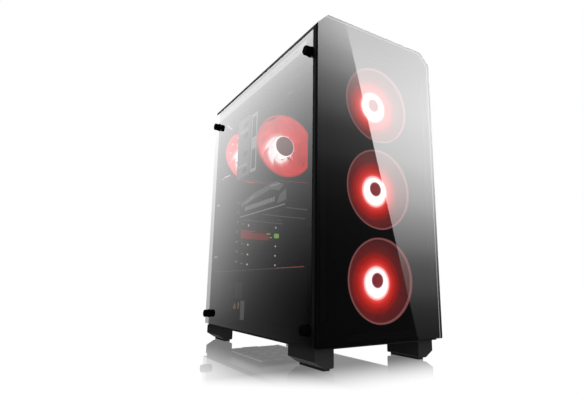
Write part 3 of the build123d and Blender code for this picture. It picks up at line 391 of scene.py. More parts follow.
def finish_material(name, color, rough, grain=900.0, bump=0.05, metal=0.0, spread=0.12, vary=0.15, coat=0.0,
                    alpha=1.0, glow=None, shine_level=0.35):
    """Principled material with mottled colour and roughness and a fine bump, all in object coordinates."""
    material = bpy.data.materials.new(name)
    tree, output = node_tree(material)
    surface = tree.nodes.new("ShaderNodeBsdfPrincipled")
    surface.inputs["Metallic"].default_value = metal
    surface.inputs["Coat Weight"].default_value = coat
    surface.inputs["Alpha"].default_value = alpha
    place = tree.nodes.new("ShaderNodeTexCoord")
    broad = add(tree, "ShaderNodeTexNoise", Scale=grain / 30, Detail=4.0, Roughness=0.6)
    fine = add(tree, "ShaderNodeTexNoise", Scale=grain, Detail=3.0, Roughness=0.55)
    for noise in (broad, fine):
        link(tree, place.outputs["Object"], noise.inputs["Vector"])
    tone = tree.nodes.new("ShaderNodeMix")
    tone.data_type = "RGBA"
    tone.inputs["A"].default_value = (*[c * (1 - vary) for c in color], 1)
    tone.inputs["B"].default_value = (*[min(1, c * (1 + vary)) for c in color], 1)
    link(tree, broad.outputs["Fac"], tone.inputs["Factor"])
    link(tree, tone.outputs["Result"], surface.inputs["Base Color"])
    shine = tree.nodes.new("ShaderNodeMapRange")
    shine.inputs["To Min"].default_value = max(0.02, rough - spread)
    shine.inputs["To Max"].default_value = min(1.0, rough + spread)
    link(tree, fine.outputs["Fac"], shine.inputs["Value"])
    link(tree, shine.outputs["Result"], surface.inputs["Roughness"])
    relief = add(tree, "ShaderNodeBump", Strength=min(1.0, bump * 4), Distance=0.0002)
    link(tree, fine.outputs["Fac"], relief.inputs["Height"])
    link(tree, relief.outputs["Normal"], surface.inputs["Normal"])
    surface.inputs["Specular IOR Level"].default_value = shine_level
    # glow is an emission; on finishes of parts that are no lamp it is painted light
    if glow:
        surface.inputs["Emission Color"].default_value = (*glow[:3], 1)
        surface.inputs["Emission Strength"].default_value = glow[3]
    link(tree, surface.outputs[0], output.inputs["Surface"])
    return material


def glass_material(name, tint, thin, rim):
    """Dark tempered glass: tinted clear faces with a sharp outer reflection, and a rim of its own.

    thin is the axis across the pane; rim is the colour and roughness of the ground edge.
    """
    material = bpy.data.materials.new(name)
    tree, output = node_tree(material)
    clear = tree.nodes.new("ShaderNodeBsdfTransparent")
    gloss = add(tree, "ShaderNodeBsdfAnisotropic", Roughness=0.0)
    gloss.inputs["Color"].default_value = (1, 1, 1, 1)
    facing = add(tree, "ShaderNodeLayerWeight", Blend=0.5)
    steep = math_node(tree, "POWER", facing.outputs["Facing"], 5.0)
    share = plus(tree, times(tree, steep, 0.96), 0.04)
    outside = tree.nodes.new("ShaderNodeNewGeometry")
    share = times(tree, share, minus(tree, 1.0, outside.outputs["Backfacing"]))
    drawn = math_node(tree, "MINIMUM", times(tree, share, MIRROR_GAIN), 0.8)
    kept = math_node(tree, "DIVIDE", minus(tree, 1.0, share), minus(tree, 1.0, drawn))
    through = tree.nodes.new("ShaderNodeVectorMath")
    through.operation = "SCALE"
    through.inputs[0].default_value = tint
    link(tree, kept, through.inputs["Scale"])
    link(tree, through.outputs[0], clear.inputs["Color"])
    pane = tree.nodes.new("ShaderNodeMixShader")
    link(tree, drawn, pane.inputs["Fac"])
    link(tree, clear.outputs[0], pane.inputs[1])
    link(tree, gloss.outputs[0], pane.inputs[2])
    edge = add(tree, "ShaderNodeBsdfPrincipled", Roughness=rim[3])
    edge.inputs["Base Color"].default_value = (*rim[:3], 1)
    edge.inputs["Specular IOR Level"].default_value = rim[4]
    place, split = coordinates(tree, "Normal")
    flat = math_node(tree, "GREATER_THAN", math_node(tree, "ABSOLUTE", split.outputs[thin]), 0.9)
    flat = larger(tree, flat, times(tree, outside.outputs["Backfacing"], rim[5]))
    mix = tree.nodes.new("ShaderNodeMixShader")
    link(tree, flat, mix.inputs["Fac"])
    link(tree, edge.outputs[0], mix.inputs[1])
    link(tree, pane.outputs[0], mix.inputs[2])
    link(tree, mix.outputs[0], output.inputs["Surface"])
    return material


def radius_from(tree, split, axis, centre):
    """Distance from a line along an axis, from object coordinates."""
    squares = []
    for letter, middle in zip([a for a in "XYZ" if a != axis], centre):
        offset = minus(tree, split.outputs[letter], middle)
        squares.append(times(tree, offset, offset))
    return math_node(tree, "SQRT", plus(tree, squares[0], squares[1]))


def color_ramp(tree, value, reach, stops, gain):
    """Colour of a socket from 0 to reach millimetres, given as (place, colour) pairs."""
    ramp = tree.nodes.new("ShaderNodeValToRGB")
    ramp.color_ramp.interpolation = "EASE"
    elements = ramp.color_ramp.elements
    while len(elements) < len(stops):
        elements.new(0.5)
    for element, (place, color) in zip(elements, stops):
        element.position = place / reach
        element.color = (*[c * gain for c in color], 1)
    link(tree, math_node(tree, "DIVIDE", value, reach / 1000, clamp=True), ramp.inputs["Fac"])
    return ramp.outputs["Color"]


def glow_plastic(name, centre, stops, strength, base, shift=(0, 0), hole=None, streak=0.0, rough=0.25,
                 alpha=1.0):
    """Translucent red fan plastic lit from its hub: the glow follows the distance from the axis."""
    material = bpy.data.materials.new(name)
    tree, output = node_tree(material)
    surface = add(tree, "ShaderNodeBsdfPrincipled", Roughness=rough)
    surface.inputs["Base Color"].default_value = (*base, 1)
    surface.inputs["Alpha"].default_value = alpha
    place, split = coordinates(tree, "Object")
    moved = (centre[0] + shift[0] / 1000, centre[1] + shift[1] / 1000)
    color = color_ramp(tree, radius_from(tree, split, "Y", moved), 75, stops, 1.0)
    if hole:
        where = (centre[0] + hole[0] / 1000, centre[1] + hole[1] / 1000)
        inner = radius_from(tree, split, "Y", where)
        mix = tree.nodes.new("ShaderNodeMix")
        mix.data_type = "RGBA"
        mix.inputs["A"].default_value = (*hole[3], 1)
        edge = hole[2] / 1000
        link(tree, ramp_between(tree, inner, edge - 0.0035, edge + 0.0008), mix.inputs["Factor"])
        link(tree, color, mix.inputs["B"])
        color = mix.outputs["Result"]
    if streak:
        noise = add(tree, "ShaderNodeTexNoise", Scale=24.0, Detail=3.0, Distortion=0.6)
        link(tree, place.outputs["Object"], noise.inputs["Vector"])
        vary = tree.nodes.new("ShaderNodeMapRange")
        vary.inputs["From Min"].default_value = 0.3
        vary.inputs["From Max"].default_value = 0.7
        vary.inputs["To Min"].default_value = 1 - streak
        vary.inputs["To Max"].default_value = 1 + streak
        link(tree, noise.outputs["Fac"], vary.inputs["Value"])
        scaled = tree.nodes.new("ShaderNodeVectorMath")
        scaled.operation = "SCALE"
        link(tree, color, scaled.inputs[0])
        link(tree, vary.outputs["Result"], scaled.inputs["Scale"])
        color = scaled.outputs[0]
    link(tree, color, surface.inputs["Emission Color"])
    surface.inputs["Emission Strength"].default_value = strength
    fine = add(tree, "ShaderNodeTexNoise", Scale=500.0, Detail=3.0)
    link(tree, place.outputs["Object"], fine.inputs["Vector"])
    relief = add(tree, "ShaderNodeBump", Strength=0.15, Distance=0.0002)
    link(tree, fine.outputs["Fac"], relief.inputs["Height"])
    link(tree, relief.outputs["Normal"], surface.inputs["Normal"])
    link(tree, surface.outputs[0], output.inputs["Surface"])
    return material


FINISHES = {
    "chassis_steel": dict(color=(0.030, 0.030, 0.032), rough=0.55, grain=1400, bump=0.10),
    "panel_steel": dict(color=(0.028, 0.028, 0.030), rough=0.50, grain=1400, bump=0.10),
    "foot_plastic": dict(color=(0.036, 0.036, 0.038), rough=0.60, shine_level=0.1, grain=1100, bump=0.12),
    "rubber": dict(color=(0.03, 0.03, 0.03), rough=0.85, grain=700, bump=0.10),
    "standoff_steel": dict(color=(0.20, 0.20, 0.21), rough=0.35, metal=1.0, grain=1500, bump=0.03),
    "fan_black": dict(color=(0.022, 0.022, 0.024), rough=0.45, grain=1000, bump=0.06),
    "board_black": dict(color=(0.018, 0.020, 0.020), rough=0.40, grain=500, bump=0.10, coat=0.2),
    "brass": dict(color=(0.78, 0.58, 0.28), rough=0.30, metal=1.0, grain=1500, bump=0.03),
    "plated_steel": dict(color=(0.45, 0.46, 0.48), rough=0.38, metal=0.9, grain=1200, bump=0.05),
    "socket_metal": dict(color=(0.60, 0.60, 0.62), rough=0.30, metal=1.0, grain=1200, bump=0.04),
    "copper_pipe": dict(color=(0.70, 0.67, 0.64), rough=0.22, metal=1.0, grain=900, bump=0.03),
    "fin_aluminium": dict(color=(0.72, 0.73, 0.75), rough=0.35, metal=0.8, grain=1000, bump=0.05),
    "connector_plastic": dict(color=(0.025, 0.025, 0.026), rough=0.50, grain=1000, bump=0.06),
    "memory_black": dict(color=(0.06, 0.06, 0.065), rough=0.40, metal=0.8, grain=1300, bump=0.06),
    "heatsink_dark": dict(color=(0.08, 0.08, 0.085), rough=0.42, metal=0.8, grain=1300, bump=0.06),
    "gpu_plastic": dict(color=(0.05, 0.05, 0.053), rough=0.38, grain=900, bump=0.05),
    "rotor_black": dict(color=(0.025, 0.025, 0.026), rough=0.30, grain=900, bump=0.03),
    # The red anodised finish glows: painted red light, as the part is no lamp
    "red_anodised": dict(color=(0.55, 0.03, 0.03), rough=0.35, metal=0.6, grain=1300, bump=0.05,
                         glow=(1.0, 0.05, 0.04, 0.35)),
    "psu_steel": dict(color=(0.035, 0.035, 0.037), rough=0.55, grain=1200, bump=0.12),
    "switch_plastic": dict(color=(0.025, 0.025, 0.025), rough=0.28, grain=900, bump=0.03),
    "drive_metal": dict(color=(0.55, 0.56, 0.58), rough=0.40, metal=0.9, grain=900, bump=0.06),
    "cable_black": dict(color=(0.022, 0.022, 0.022), rough=0.70, grain=1800, bump=0.25),
    "bezel_plastic": dict(color=(0.008, 0.008, 0.009), rough=0.75, grain=1100, bump=0.08),
    "screw_black": dict(color=(0.003, 0.003, 0.003), rough=0.75, shine_level=0.02, grain=1500, bump=0.05),
    "button_plastic": dict(color=(0.030, 0.030, 0.031), rough=0.30, grain=900, bump=0.04),
    "filter_black": dict(color=(0.008, 0.008, 0.009), rough=0.80, shine_level=0.05, grain=1200, bump=0.10),
    "ring_trim": dict(color=(0.30, 0.10, 0.10), rough=0.15, grain=900, bump=0.02,
                      glow=(1.0, 0.36, 0.34, 0.55)),
}
materials = {slot: finish_material(slot, **values) for slot, values in FINISHES.items()}
# Rim of a pane: colour, roughness, specular level and whether the inner faces stay clear
FRONT_RIM = (0.004, 0.004, 0.005, 0.60, 0.02, 0.0)
SIDE_RIM = (0.010, 0.010, 0.011, 0.60, 0.05, 1.0)
materials["front_glass"] = glass_material("front_glass", (0.55, 0.55, 0.56), "Y", FRONT_RIM)
materials["side_glass"] = glass_material("side_glass", (0.58, 0.58, 0.59), "X", SIDE_RIM)

# Glow by distance from the fan's axis, in millimetres
LENS_STOPS = (
    (0.0, (0.90, 0.84, 0.82)),
    (17.0, (0.90, 0.84, 0.82)),
    (20.5, (0.62, 0.30, 0.28)),
    (24.0, (0.36, 0.026, 0.022)),
    (29.0, (0.24, 0.009, 0.006)),
    (36.0, (0.13, 0.005, 0.004)),
    (44.0, (0.050, 0.005, 0.005)),
    (60.0, (0.024, 0.004, 0.004)),
)
BLADE_STOPS = (
    (0.0, (0.90, 0.80, 0.78)),
    (23.0, (0.90, 0.80, 0.78)),
    (28.0, (0.72, 0.20, 0.19)),
    (34.0, (0.60, 0.030, 0.030)),
    (46.0, (0.52, 0.008, 0.010)),
    (75.0, (0.46, 0.006, 0.008)),
)
HUB_STOPS = (
    (0.0, (0.10, 0.035, 0.035)),
    (18.2, (0.10, 0.030, 0.030)),
    (19.6, (1.0, 0.85, 0.82)),
    (24.0, (1.0, 0.90, 0.88)),
    (60.0, (1.0, 0.5, 0.5)),
)


def centre_of(node):
    """Middle of a node's box."""
    low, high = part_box(node)
    return (low + high) / 2


WELD = 1e-7


def mesh_object(name, vertices, faces, material, smooth=0.6, weld=True):
    """New object with outward faces, shaded smooth up to an angle; weld joins points at one place."""
    mesh = bpy.data.meshes.new(name)
    mesh.from_pydata([tuple(v) for v in vertices], [], faces)
    work = bmesh.new()
    work.from_mesh(mesh)
    if weld:
        bmesh.ops.remove_doubles(work, verts=work.verts, dist=WELD)
    bmesh.ops.recalc_face_normals(work, faces=work.faces)
    for edge in work.edges:
        edge.smooth = len(edge.link_faces) != 2 or edge.calc_face_angle(0) < smooth
    for face in work.faces:
        face.smooth = True
    work.to_mesh(mesh)
    work.free()
    mesh.materials.append(material)
    return new_object(name, mesh)


def turned_points(rings, centre, steps):
    """Points of (radius, y) pairs turned about a line along Y."""
    points = []
    for radius, y in rings:
        for step in range(steps):
            turn = 2 * math.pi * step / steps
            points.append((centre[0] + radius * math.cos(turn), y, centre[1] + radius * math.sin(turn)))
    return points


def lathe_y(rings, centre, steps=72):
    """Closed solid of revolution about Y from (radius, y) pairs, both ends on the axis."""
    vertices = turned_points(rings, centre, steps)
    faces = []
    for ring in range(len(rings) - 1):
        for step in range(steps):
            following = (step + 1) % steps
            a, b = ring * steps, (ring + 1) * steps
            faces.append((a + step, a + following, b + following, b + step))
    first = list(range(steps))
    last = [(len(rings) - 1) * steps + step for step in range(steps)]
    faces.append(tuple(first))
    faces.append(tuple(reversed(last)))
    return vertices, faces


def lathe_ring(rings, centre, steps):
    """Closed ring turned about the Y axis from a loop of (radius, y) points."""
    vertices = turned_points(rings, centre, steps)
    faces = []
    count = len(rings)
    for ring in range(count):
        other = (ring + 1) % count
        for step in range(steps):
            following = (step + 1) % steps
            a, b = ring * steps, other * steps
            faces.append((a + step, a + following, b + following, b + step))
    return vertices, faces


def fan_lens(name, node, body):
    """Frosted lens in front of a lit fan: a thin dished disc."""
    middle = centre_of(node)
    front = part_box(node)[0].y - 0.0019
    rings = [(radius / 1000, front + depth / 1000) for radius, depth in
             ((0.5, 0.0), (20, 0.05), (40, 0.2), (52, 0.5), (56.6, 0.7), (57.0, 0.9), (57.0, 1.5), (52, 1.4),
              (40, 1.2), (20, 1.05), (0.5, 1.0))]
    vertices, faces = lathe_y(rings, (middle.x, middle.z), 96)
    hub = (-3.6, -0.2, 12.2, (0.10, 0.012, 0.014))
    material = glow_plastic(name, (middle.x, middle.z), LENS_STOPS, 7.0, (0.10, 0.03, 0.03),
                            shift=(-5.0, -3.6), hole=hub, streak=0.12, rough=0.35, alpha=0.97)
    lens = mesh_object(name, vertices, faces, material)
    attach(lens, body)


def blade_points(centre, front, depth, hub, tip, start, span, lean, rows, columns, thickness):
    """Grid of points of one side of a swept fan blade."""
    points = []
    for row in range(rows + 1):
        out = row / rows
        radius = hub + (tip - hub) * out
        for column in range(columns + 1):
            along = column / columns
            turn = start + span * (along - 0.5) * (1.0 - 0.12 * out) + lean * out * out
            sag = 0.9 * math.sin(math.pi * along) * (0.35 + 0.65 * out)
            y = front + depth * (0.10 + 0.80 * along) + sag * 0.001 + thickness
            points.append((centre[0] + radius * math.cos(turn), y, centre[1] + radius * math.sin(turn)))
    return points


def fan_rotor(node, body, material, hub_material, blades=9):
    """Lit rotor with wide blades that overlap seen from the front, and a smooth hub cup."""
    low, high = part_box(node)
    middle = centre_of(node)
    centre = (5 / 1000, middle.z) if node.startswith("front") else (middle.x, middle.z)
    front, depth = low.y, high.y - low.y
    hub, tip = 0.0196, 0.0553
    vertices, faces = [], []
    rows, columns = 10, 12
    for blade in range(blades):
        start = 2 * math.pi * blade / blades + 0.2
        base = len(vertices)
        for side in (0.0, 0.0011):
            vertices += blade_points(centre, front, depth, hub, tip, start, 0.92, 0.55, rows, columns, side)
        width = columns + 1
        count = (rows + 1) * width
        for row in range(rows):
            for column in range(columns):
                a = base + row * width + column
                faces.append((a, a + 1, a + width + 1, a + width))
                faces.append((a + count, a + width + count, a + width + 1 + count, a + 1 + count))
        rim = [column for column in range(width)]
        rim += [row * width + columns for row in range(1, rows + 1)]
        rim += [rows * width + column for column in reversed(range(columns))]
        rim += [row * width for row in reversed(range(1, rows))]
        for first, second in zip(rim, rim[1:] + rim[:1]):
            faces.append((base + second, base + first, base + first + count, base + second + count))
    rotor = mesh_object(node + "_blades", vertices, faces, material, smooth=0.5)
    cup = [(radius / 1000, front + depth * share) for radius, share in
           ((0.4, 0.0), (16.5, 0.0), (18.6, 0.01), (19.9, 0.05), (20.5, 0.13), (20.5, 0.93), (19.8, 0.97),
            (18.6, 0.97), (0.4, 0.97))]
    vertices, faces = lathe_y(cup, centre)
    hub_part = mesh_object(node + "_hub", vertices, faces, hub_material)
    for part in (rotor, hub_part):
        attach(part, body)
        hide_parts(node)


def fan_back(name, node, body, thickness, material, radius=57.3):
    """Thin lit disc right behind a rotor, at the rear of its frame."""
    middle = centre_of(node)
    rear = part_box(node)[1].y + 0.00008
    rings = [(reach / 1000, rear + depth) for reach, depth in
             ((0.5, 0.0), (radius - 0.3, 0.0), (radius, thickness * 0.3), (radius, thickness * 0.8),
              (radius - 0.3, thickness), (0.5, thickness))]
    vertices, faces = lathe_y(rings, (middle.x, middle.z), 96)
    disc = mesh_object(name, vertices, faces, material)
    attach(disc, body)


def fan_tunnel(name, frame_node, middle, material, reach=60.0):
    """Lit lining of a fan's round tunnel with a narrow lit collar on its front face."""
    low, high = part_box(frame_node)
    rings = [(0.0574, high.y - 0.0045), (0.0574, low.y + 0.0002), (0.0574, low.y - 0.00025),
             (reach / 1000 - 0.0003, low.y - 0.00025), (reach / 1000, low.y - 0.00005),
             (0.0573, low.y - 0.00005), (0.0573, high.y - 0.0045)]
    vertices, faces = lathe_ring(rings, (middle.x, middle.z), 96)
    lining = mesh_object(name, vertices, faces, material)
    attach(lining, "chassis")


BLADE_RED = (0.25, 0.01, 0.01)
GLOW_SHIFT = (-7.5, -5.5)      # offset of the glow from the axis, in millimetres
BODY_OF = {node: body for body, names in frame["record"]["behaviour"]["bodies"].items() for node in names}


def paint_nodes():
    """Give every CAD node the material of its slot."""
    slots = {entry["node"]: entry["material_slot"] for entry in frame["record"]["subparts"]}
    for node, obj in nodes.items():
        slot = slots[node]
        obj.data.materials.clear()
        if slot != "fan_red":
            obj.data.materials.append(materials[slot])
            continue
        middle = centre_of(node)
        centre = (middle.x, middle.z)
        obj.data.materials.append(glow_plastic(node, centre, LENS_STOPS, 2.0, (0.30, 0.02, 0.02)))
        if node.startswith("front"):
            fan_lens(node.replace("rotor", "lens"), node, "chassis")
            continue
        blade = glow_plastic(node + "_blade", centre, BLADE_STOPS, 2.4, BLADE_RED, shift=GLOW_SHIFT,
                             streak=0.25)
        hub = glow_plastic(node + "_hub", centre, HUB_STOPS, 3.0, (0.20, 0.05, 0.05))
        fan_rotor(node, BODY_OF[node], blade, hub)
        back = glow_plastic(node + "_back", centre, BLADE_STOPS, 2.2, BLADE_RED, shift=GLOW_SHIFT, streak=0.2)
        fan_back(node.replace("rotor", "backlight"), node, "chassis", 0.00034, back)
        fan_tunnel(node.replace("rotor", "lining"), node.replace("rotor", "frame"), middle, back,
                   60.2 if node.startswith("cooler") else 57.8)


paint_nodes()


# --------------------------------------------------
# Detail pieces
# --------------------------------------------------


def block(low, high, cut=0.0):
    """Vertices and faces of a box in millimetres, its twelve edges cut back by a small chamfer."""
    low, high = [min(a, b) for a, b in zip(low, high)], [max(a, b) for a, b in zip(low, high)]
    cut = min([cut] + [(b - a) * 0.45 for a, b in zip(low, high)])
    corners, faces = [], []
    if cut <= 0:
        for x in (low[0], high[0]):
            for y in (low[1], high[1]):
                for z in (low[2], high[2]):
                    corners.append(mm(x, y, z))
        return corners, [(0, 1, 3, 2), (4, 6, 7, 5), (0, 4, 5, 1), (2, 3, 7, 6), (0, 2, 6, 4), (1, 5, 7, 3)]
    index = {}
    for sides in ((a, b, c) for a in (0, 1) for b in (0, 1) for c in (0, 1)):
        for axis in range(3):
            point = []
            for k in range(3):
                inward = cut if k != axis else 0
                point.append(low[k] + inward if sides[k] == 0 else high[k] - inward)
            index[sides, axis] = len(corners)
            corners.append(mm(*point))
    for axis in range(3):
        one, two = [k for k in range(3) if k != axis]
        for side in (0, 1):
            loop = []
            for a, b in ((0, 0), (1, 0), (1, 1), (0, 1)):
                key = [0, 0, 0]
                key[axis], key[one], key[two] = side, a, b
                loop.append(index[tuple(key), axis])
            faces.append(tuple(loop))
        for a in (0, 1):
            for b in (0, 1):
                first, second = [0, 0, 0], [0, 0, 0]
                first[one], first[two], first[axis] = a, b, 0
                second[one], second[two], second[axis] = a, b, 1
                first, second = tuple(first), tuple(second)
                faces.append((index[first, one], index[second, one], index[second, two], index[first, two]))
    for sides in ((a, b, c) for a in (0, 1) for b in (0, 1) for c in (0, 1)):
        faces.append((index[sides, 0], index[sides, 1], index[sides, 2]))
    return corners, faces


def prism_x(outline, low, high):
    """Vertices and faces of a plate across X from an outline of (y, z) points in millimetres."""
    count = len(outline)
    vertices = [mm(low, y, z) for y, z in outline] + [mm(high, y, z) for y, z in outline]
    faces = [tuple(range(count)), tuple(reversed(range(count, 2 * count)))]
    for step in range(count):
        following = (step + 1) % count
        faces.append((step, following, following + count, step + count))
    return vertices, faces


def rod(start, end, radius, steps=10):
    """Vertices and faces of a straight round bar between two points in millimetres."""
    start, end = Vector(start) / 1000, Vector(end) / 1000
    along = (end - start).normalized()
    side = along.orthogonal().normalized()
    other = along.cross(side)
    vertices, faces = [], []
    for middle in (start, end):
        for step in range(steps):
            turn = 2 * math.pi * step / steps
            vertices.append(tuple(middle + (side * math.cos(turn) + other * math.sin(turn)) * radius / 1000))
    for step in range(steps):
        following = (step + 1) % steps
        faces.append((step, following, following + steps, step + steps))
    faces.append(tuple(range(steps)))
    faces.append(tuple(reversed(range(steps, 2 * steps))))
    return vertices, faces


def piece(name, shapes, material, body="chassis", replaces=None, smooth=0.6):
    """One named object from many closed shapes; material is a key of materials."""
    vertices, faces = [], []
    for points, loops in shapes:
        base = len(vertices)
        vertices += points
        faces += [tuple(base + corner for corner in loop) for loop in loops]
    obj = mesh_object(name, vertices, faces, materials[material], smooth, weld=False)
    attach(obj, body)
    if replaces:
        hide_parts(replaces)
    return obj


def box_mm(node):
    """Low and high corner of a node in millimetres."""
    low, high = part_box(node)
    return [value * 1000 for value in low], [value * 1000 for value in high]


TRIMS = {
    # Silver trim: its own silver colour, with a glow that is painted light
    "silver_trim_painted_light": dict(color=(0.55, 0.56, 0.58), rough=0.35, metal=0.4, grain=1200, bump=0.05,
                        glow=(0.8, 0.82, 0.85, 0.42)),
    # Grey trim: its own grey, with a glow that is painted light
    "grey_trim_painted_light": dict(color=(0.22, 0.22, 0.23), rough=0.45, grain=1100, bump=0.06,
                      glow=(0.8, 0.8, 0.82, 0.19)),
    # Dark grey trim with a faint glow that is painted light
    "dim_trim_painted_light": dict(color=(0.10, 0.10, 0.10), rough=0.55, grain=1100, bump=0.05,
                     glow=(0.8, 0.8, 0.82, 0.03)),
    "chip_black": dict(color=(0.020, 0.020, 0.021), rough=0.45, grain=1500, bump=0.06),
    "capacitor": dict(color=(0.48, 0.49, 0.50), rough=0.30, metal=0.8, grain=1500, bump=0.04),
    # White plastic: its own white, with a glow that is painted light
    "white_plastic_painted_light": dict(color=(0.75, 0.75, 0.74), rough=0.45, grain=1200, bump=0.04, glow=(1, 1, 1, 0.5)),
    # Green plastic: its own green, with a glow that is painted light
    "green_plastic_painted_light": dict(color=(0.25, 0.55, 0.10), rough=0.40, grain=1200, bump=0.04,
                          glow=(0.45, 0.9, 0.15, 0.9)),
    # Yellow print: its own yellow, with a glow that is painted light
    "yellow_mark_painted_light": dict(color=(0.60, 0.45, 0.08), rough=0.55, grain=1200, bump=0.03,
                        glow=(0.9, 0.60, 0.25, 0.24)),
    "label_paper": dict(color=(0.03, 0.03, 0.032), rough=0.60, grain=1600, bump=0.03),
    # Red line: a painted red reflection of the fans' light
    "painted_red_reflection": dict(color=(0.50, 0.02, 0.02), rough=0.40, grain=900, bump=0.02, glow=(1.0, 0.10, 0.08, 0.8)),
    # Painted glint
    "painted_glint": dict(color=(0.80, 0.50, 0.48), rough=0.30, grain=900, bump=0.02, glow=(1.0, 0.55, 0.50, 1.6)),
    "dot_glow": dict(color=(0.80, 0.45, 0.45), rough=0.30, grain=900, bump=0.02, glow=(1.0, 0.50, 0.50, 1.3)),
    "mesh_black": dict(color=(0.030, 0.030, 0.031), rough=0.70, grain=1800, bump=0.10),
    # Pale steel: its own pale grey, with a glow that is painted light
    "pale_steel_painted_light": dict(color=(0.40, 0.40, 0.41), rough=0.50, grain=1400, bump=0.06, glow=(1, 1, 1, 0.34)),
    "gold_contact": dict(color=(0.80, 0.60, 0.25), rough=0.30, metal=1.0, grain=1500, bump=0.03),
}
for trim, values in TRIMS.items():
    materials[trim] = finish_material(trim, **values)


def cooler_details():
    """Side plates of the cooler and its fan, grey with painted light, with cut-outs painted dark as shade,
    and fin tips with painted light.
    """
    low, high = box_mm("cooler_fins")
    frame_low, frame_high = box_mm("cooler_fan_frame")
    x = low[0]
    front, rear = low[1], high[1]
    plate = [block((x - 0.45, front + 0.6, low[2] + 0.5), (x - 0.05, rear - 0.6, high[2] - 0.5), 0.15)]
    piece("cooler_side_plate", plate, "grey_trim_painted_light")
    middle = (low[2] + high[2]) / 2
    # Thin black shapes on the plate: painted shade where the cut-outs are
    shade_shapes = []
    for lift in (-46, -14, 22, 44):
        shade_shapes.append(prism_x([(front + 9, middle + lift - 3), (front + 26, middle + lift - 6),
                             (front + 30, middle + lift - 1), (front + 24, middle + lift + 4),
                             (front + 11, middle + lift + 5)], x - 0.62, x - 0.48))
    piece("cooler_side_painted_shade", shade_shapes, "chip_black")
    tips = []
    for row in (-15, -5, 5, 15):
        for side in (-34, 34):
            tips.append(rod((x - 0.95, 89 + row, 356 + side), (x - 0.48, 89 + row, 356 + side), 3.0, 20))
    piece("cooler_pipe_tips", tips, "silver_trim_painted_light")
    fx = frame_low[0]
    front, rear = frame_low[1], frame_high[1]
    foot, top = frame_low[2], frame_high[2]
    # Bars on the side of the cooler fan, silver with painted light
    bars = []
    between, tall = (front + 4.2, rear - 4.2), (foot + 4, top - 4)
    for y, z in (((front + 0.3, front + 4.2), tall), ((rear - 4.2, rear - 0.3), tall),
                 (between, (foot + 4, foot + 10)), (between, (top - 10, top - 4)), (between, (345, 368))):
        bars.append(block((fx - 0.5, y[0], z[0]), (fx - 0.05, y[1], z[1]), 0.2))
    piece("cooler_fan_side", bars, "silver_trim_painted_light")


def graphics_details():
    """Angular outer trims of the graphics card with slanted bars, and its top wing; the trims and bars carry
    painted light.
    """
    low, high = box_mm("gpu_shroud")
    x = low[0]
    front, rear = low[1], high[1]
    base, top = low[2], high[2]
    wings = [
        prism_x([(rear - 8, top - 9), (rear - 8, top - 2), (rear - 66, top + 9), (front + 40, top + 15),
                 (front + 12, top + 4), (front + 26, top - 4), (front + 60, top + 4), (rear - 60, top - 3)],
                x - 1.2, x - 0.15),
        prism_x([(front + 2, base + 12), (front + 2, top - 6), (front + 22, top - 11),
                 (front + 34, base + 10)],
                x - 1.2, x - 0.15),
    ]
    piece("graphics_side_trims", wings, "grey_trim_painted_light")
    bars = []
    for step in range(15):
        y = rear - 26 - 8.6 * step
        z = base + 15.5
        outline = [(y, z), (y - 4.6, z), (y - 6.6, z + 8.0), (y - 2.0, z + 8.0)]
        bars.append(prism_x(outline, x - 0.9, x - 0.15))
    bars.append(prism_x([(rear - 4, base + 5), (rear - 4, base + 7), (front + 6, base + 5.5),
                         (front + 6, base + 3.5)],
                        x - 0.9, x - 0.15))
    bars.append(prism_x([(rear - 30, top - 7.5), (rear - 66, top + 2), (rear - 66, top + 4),
                         (rear - 30, top - 5)],
                        x - 1.9, x - 1.25))
    bars.append(prism_x([(front + 58, top + 8), (front + 24, top + 6.5), (front + 24, top + 9),
                         (front + 58, top + 11)],
                        x - 1.9, x - 1.25))
    piece("graphics_side_bars", bars, "silver_trim_painted_light")
    under = []
    for y in (front + 6, (front + rear) / 2 - 2.5, rear - 11):
        under.append(block((x + 4, y, base - 0.9), (x + 96, y + 5, base - 0.1), 0.3))
    piece("graphics_under_trims", under, "grey_trim_painted_light")
    plate_low, plate_high = box_mm("gpu_backplate")
    left, right, level = plate_low[0] + 8, plate_high[0] - 10, plate_high[2]
    ribs = [block((left, y, level + 0.05), (right, y + 2.2, level + 1.1), 0.4)
            for y in range(-8, 170, 12)]
    piece("graphics_backplate_ribs", ribs, "chip_black")


# Card slots, in millimetres
SLOT_TOP = 264.9
SLOT_PITCH = 20.32
LIGHT_SLOTS = (155.0, 259.0)


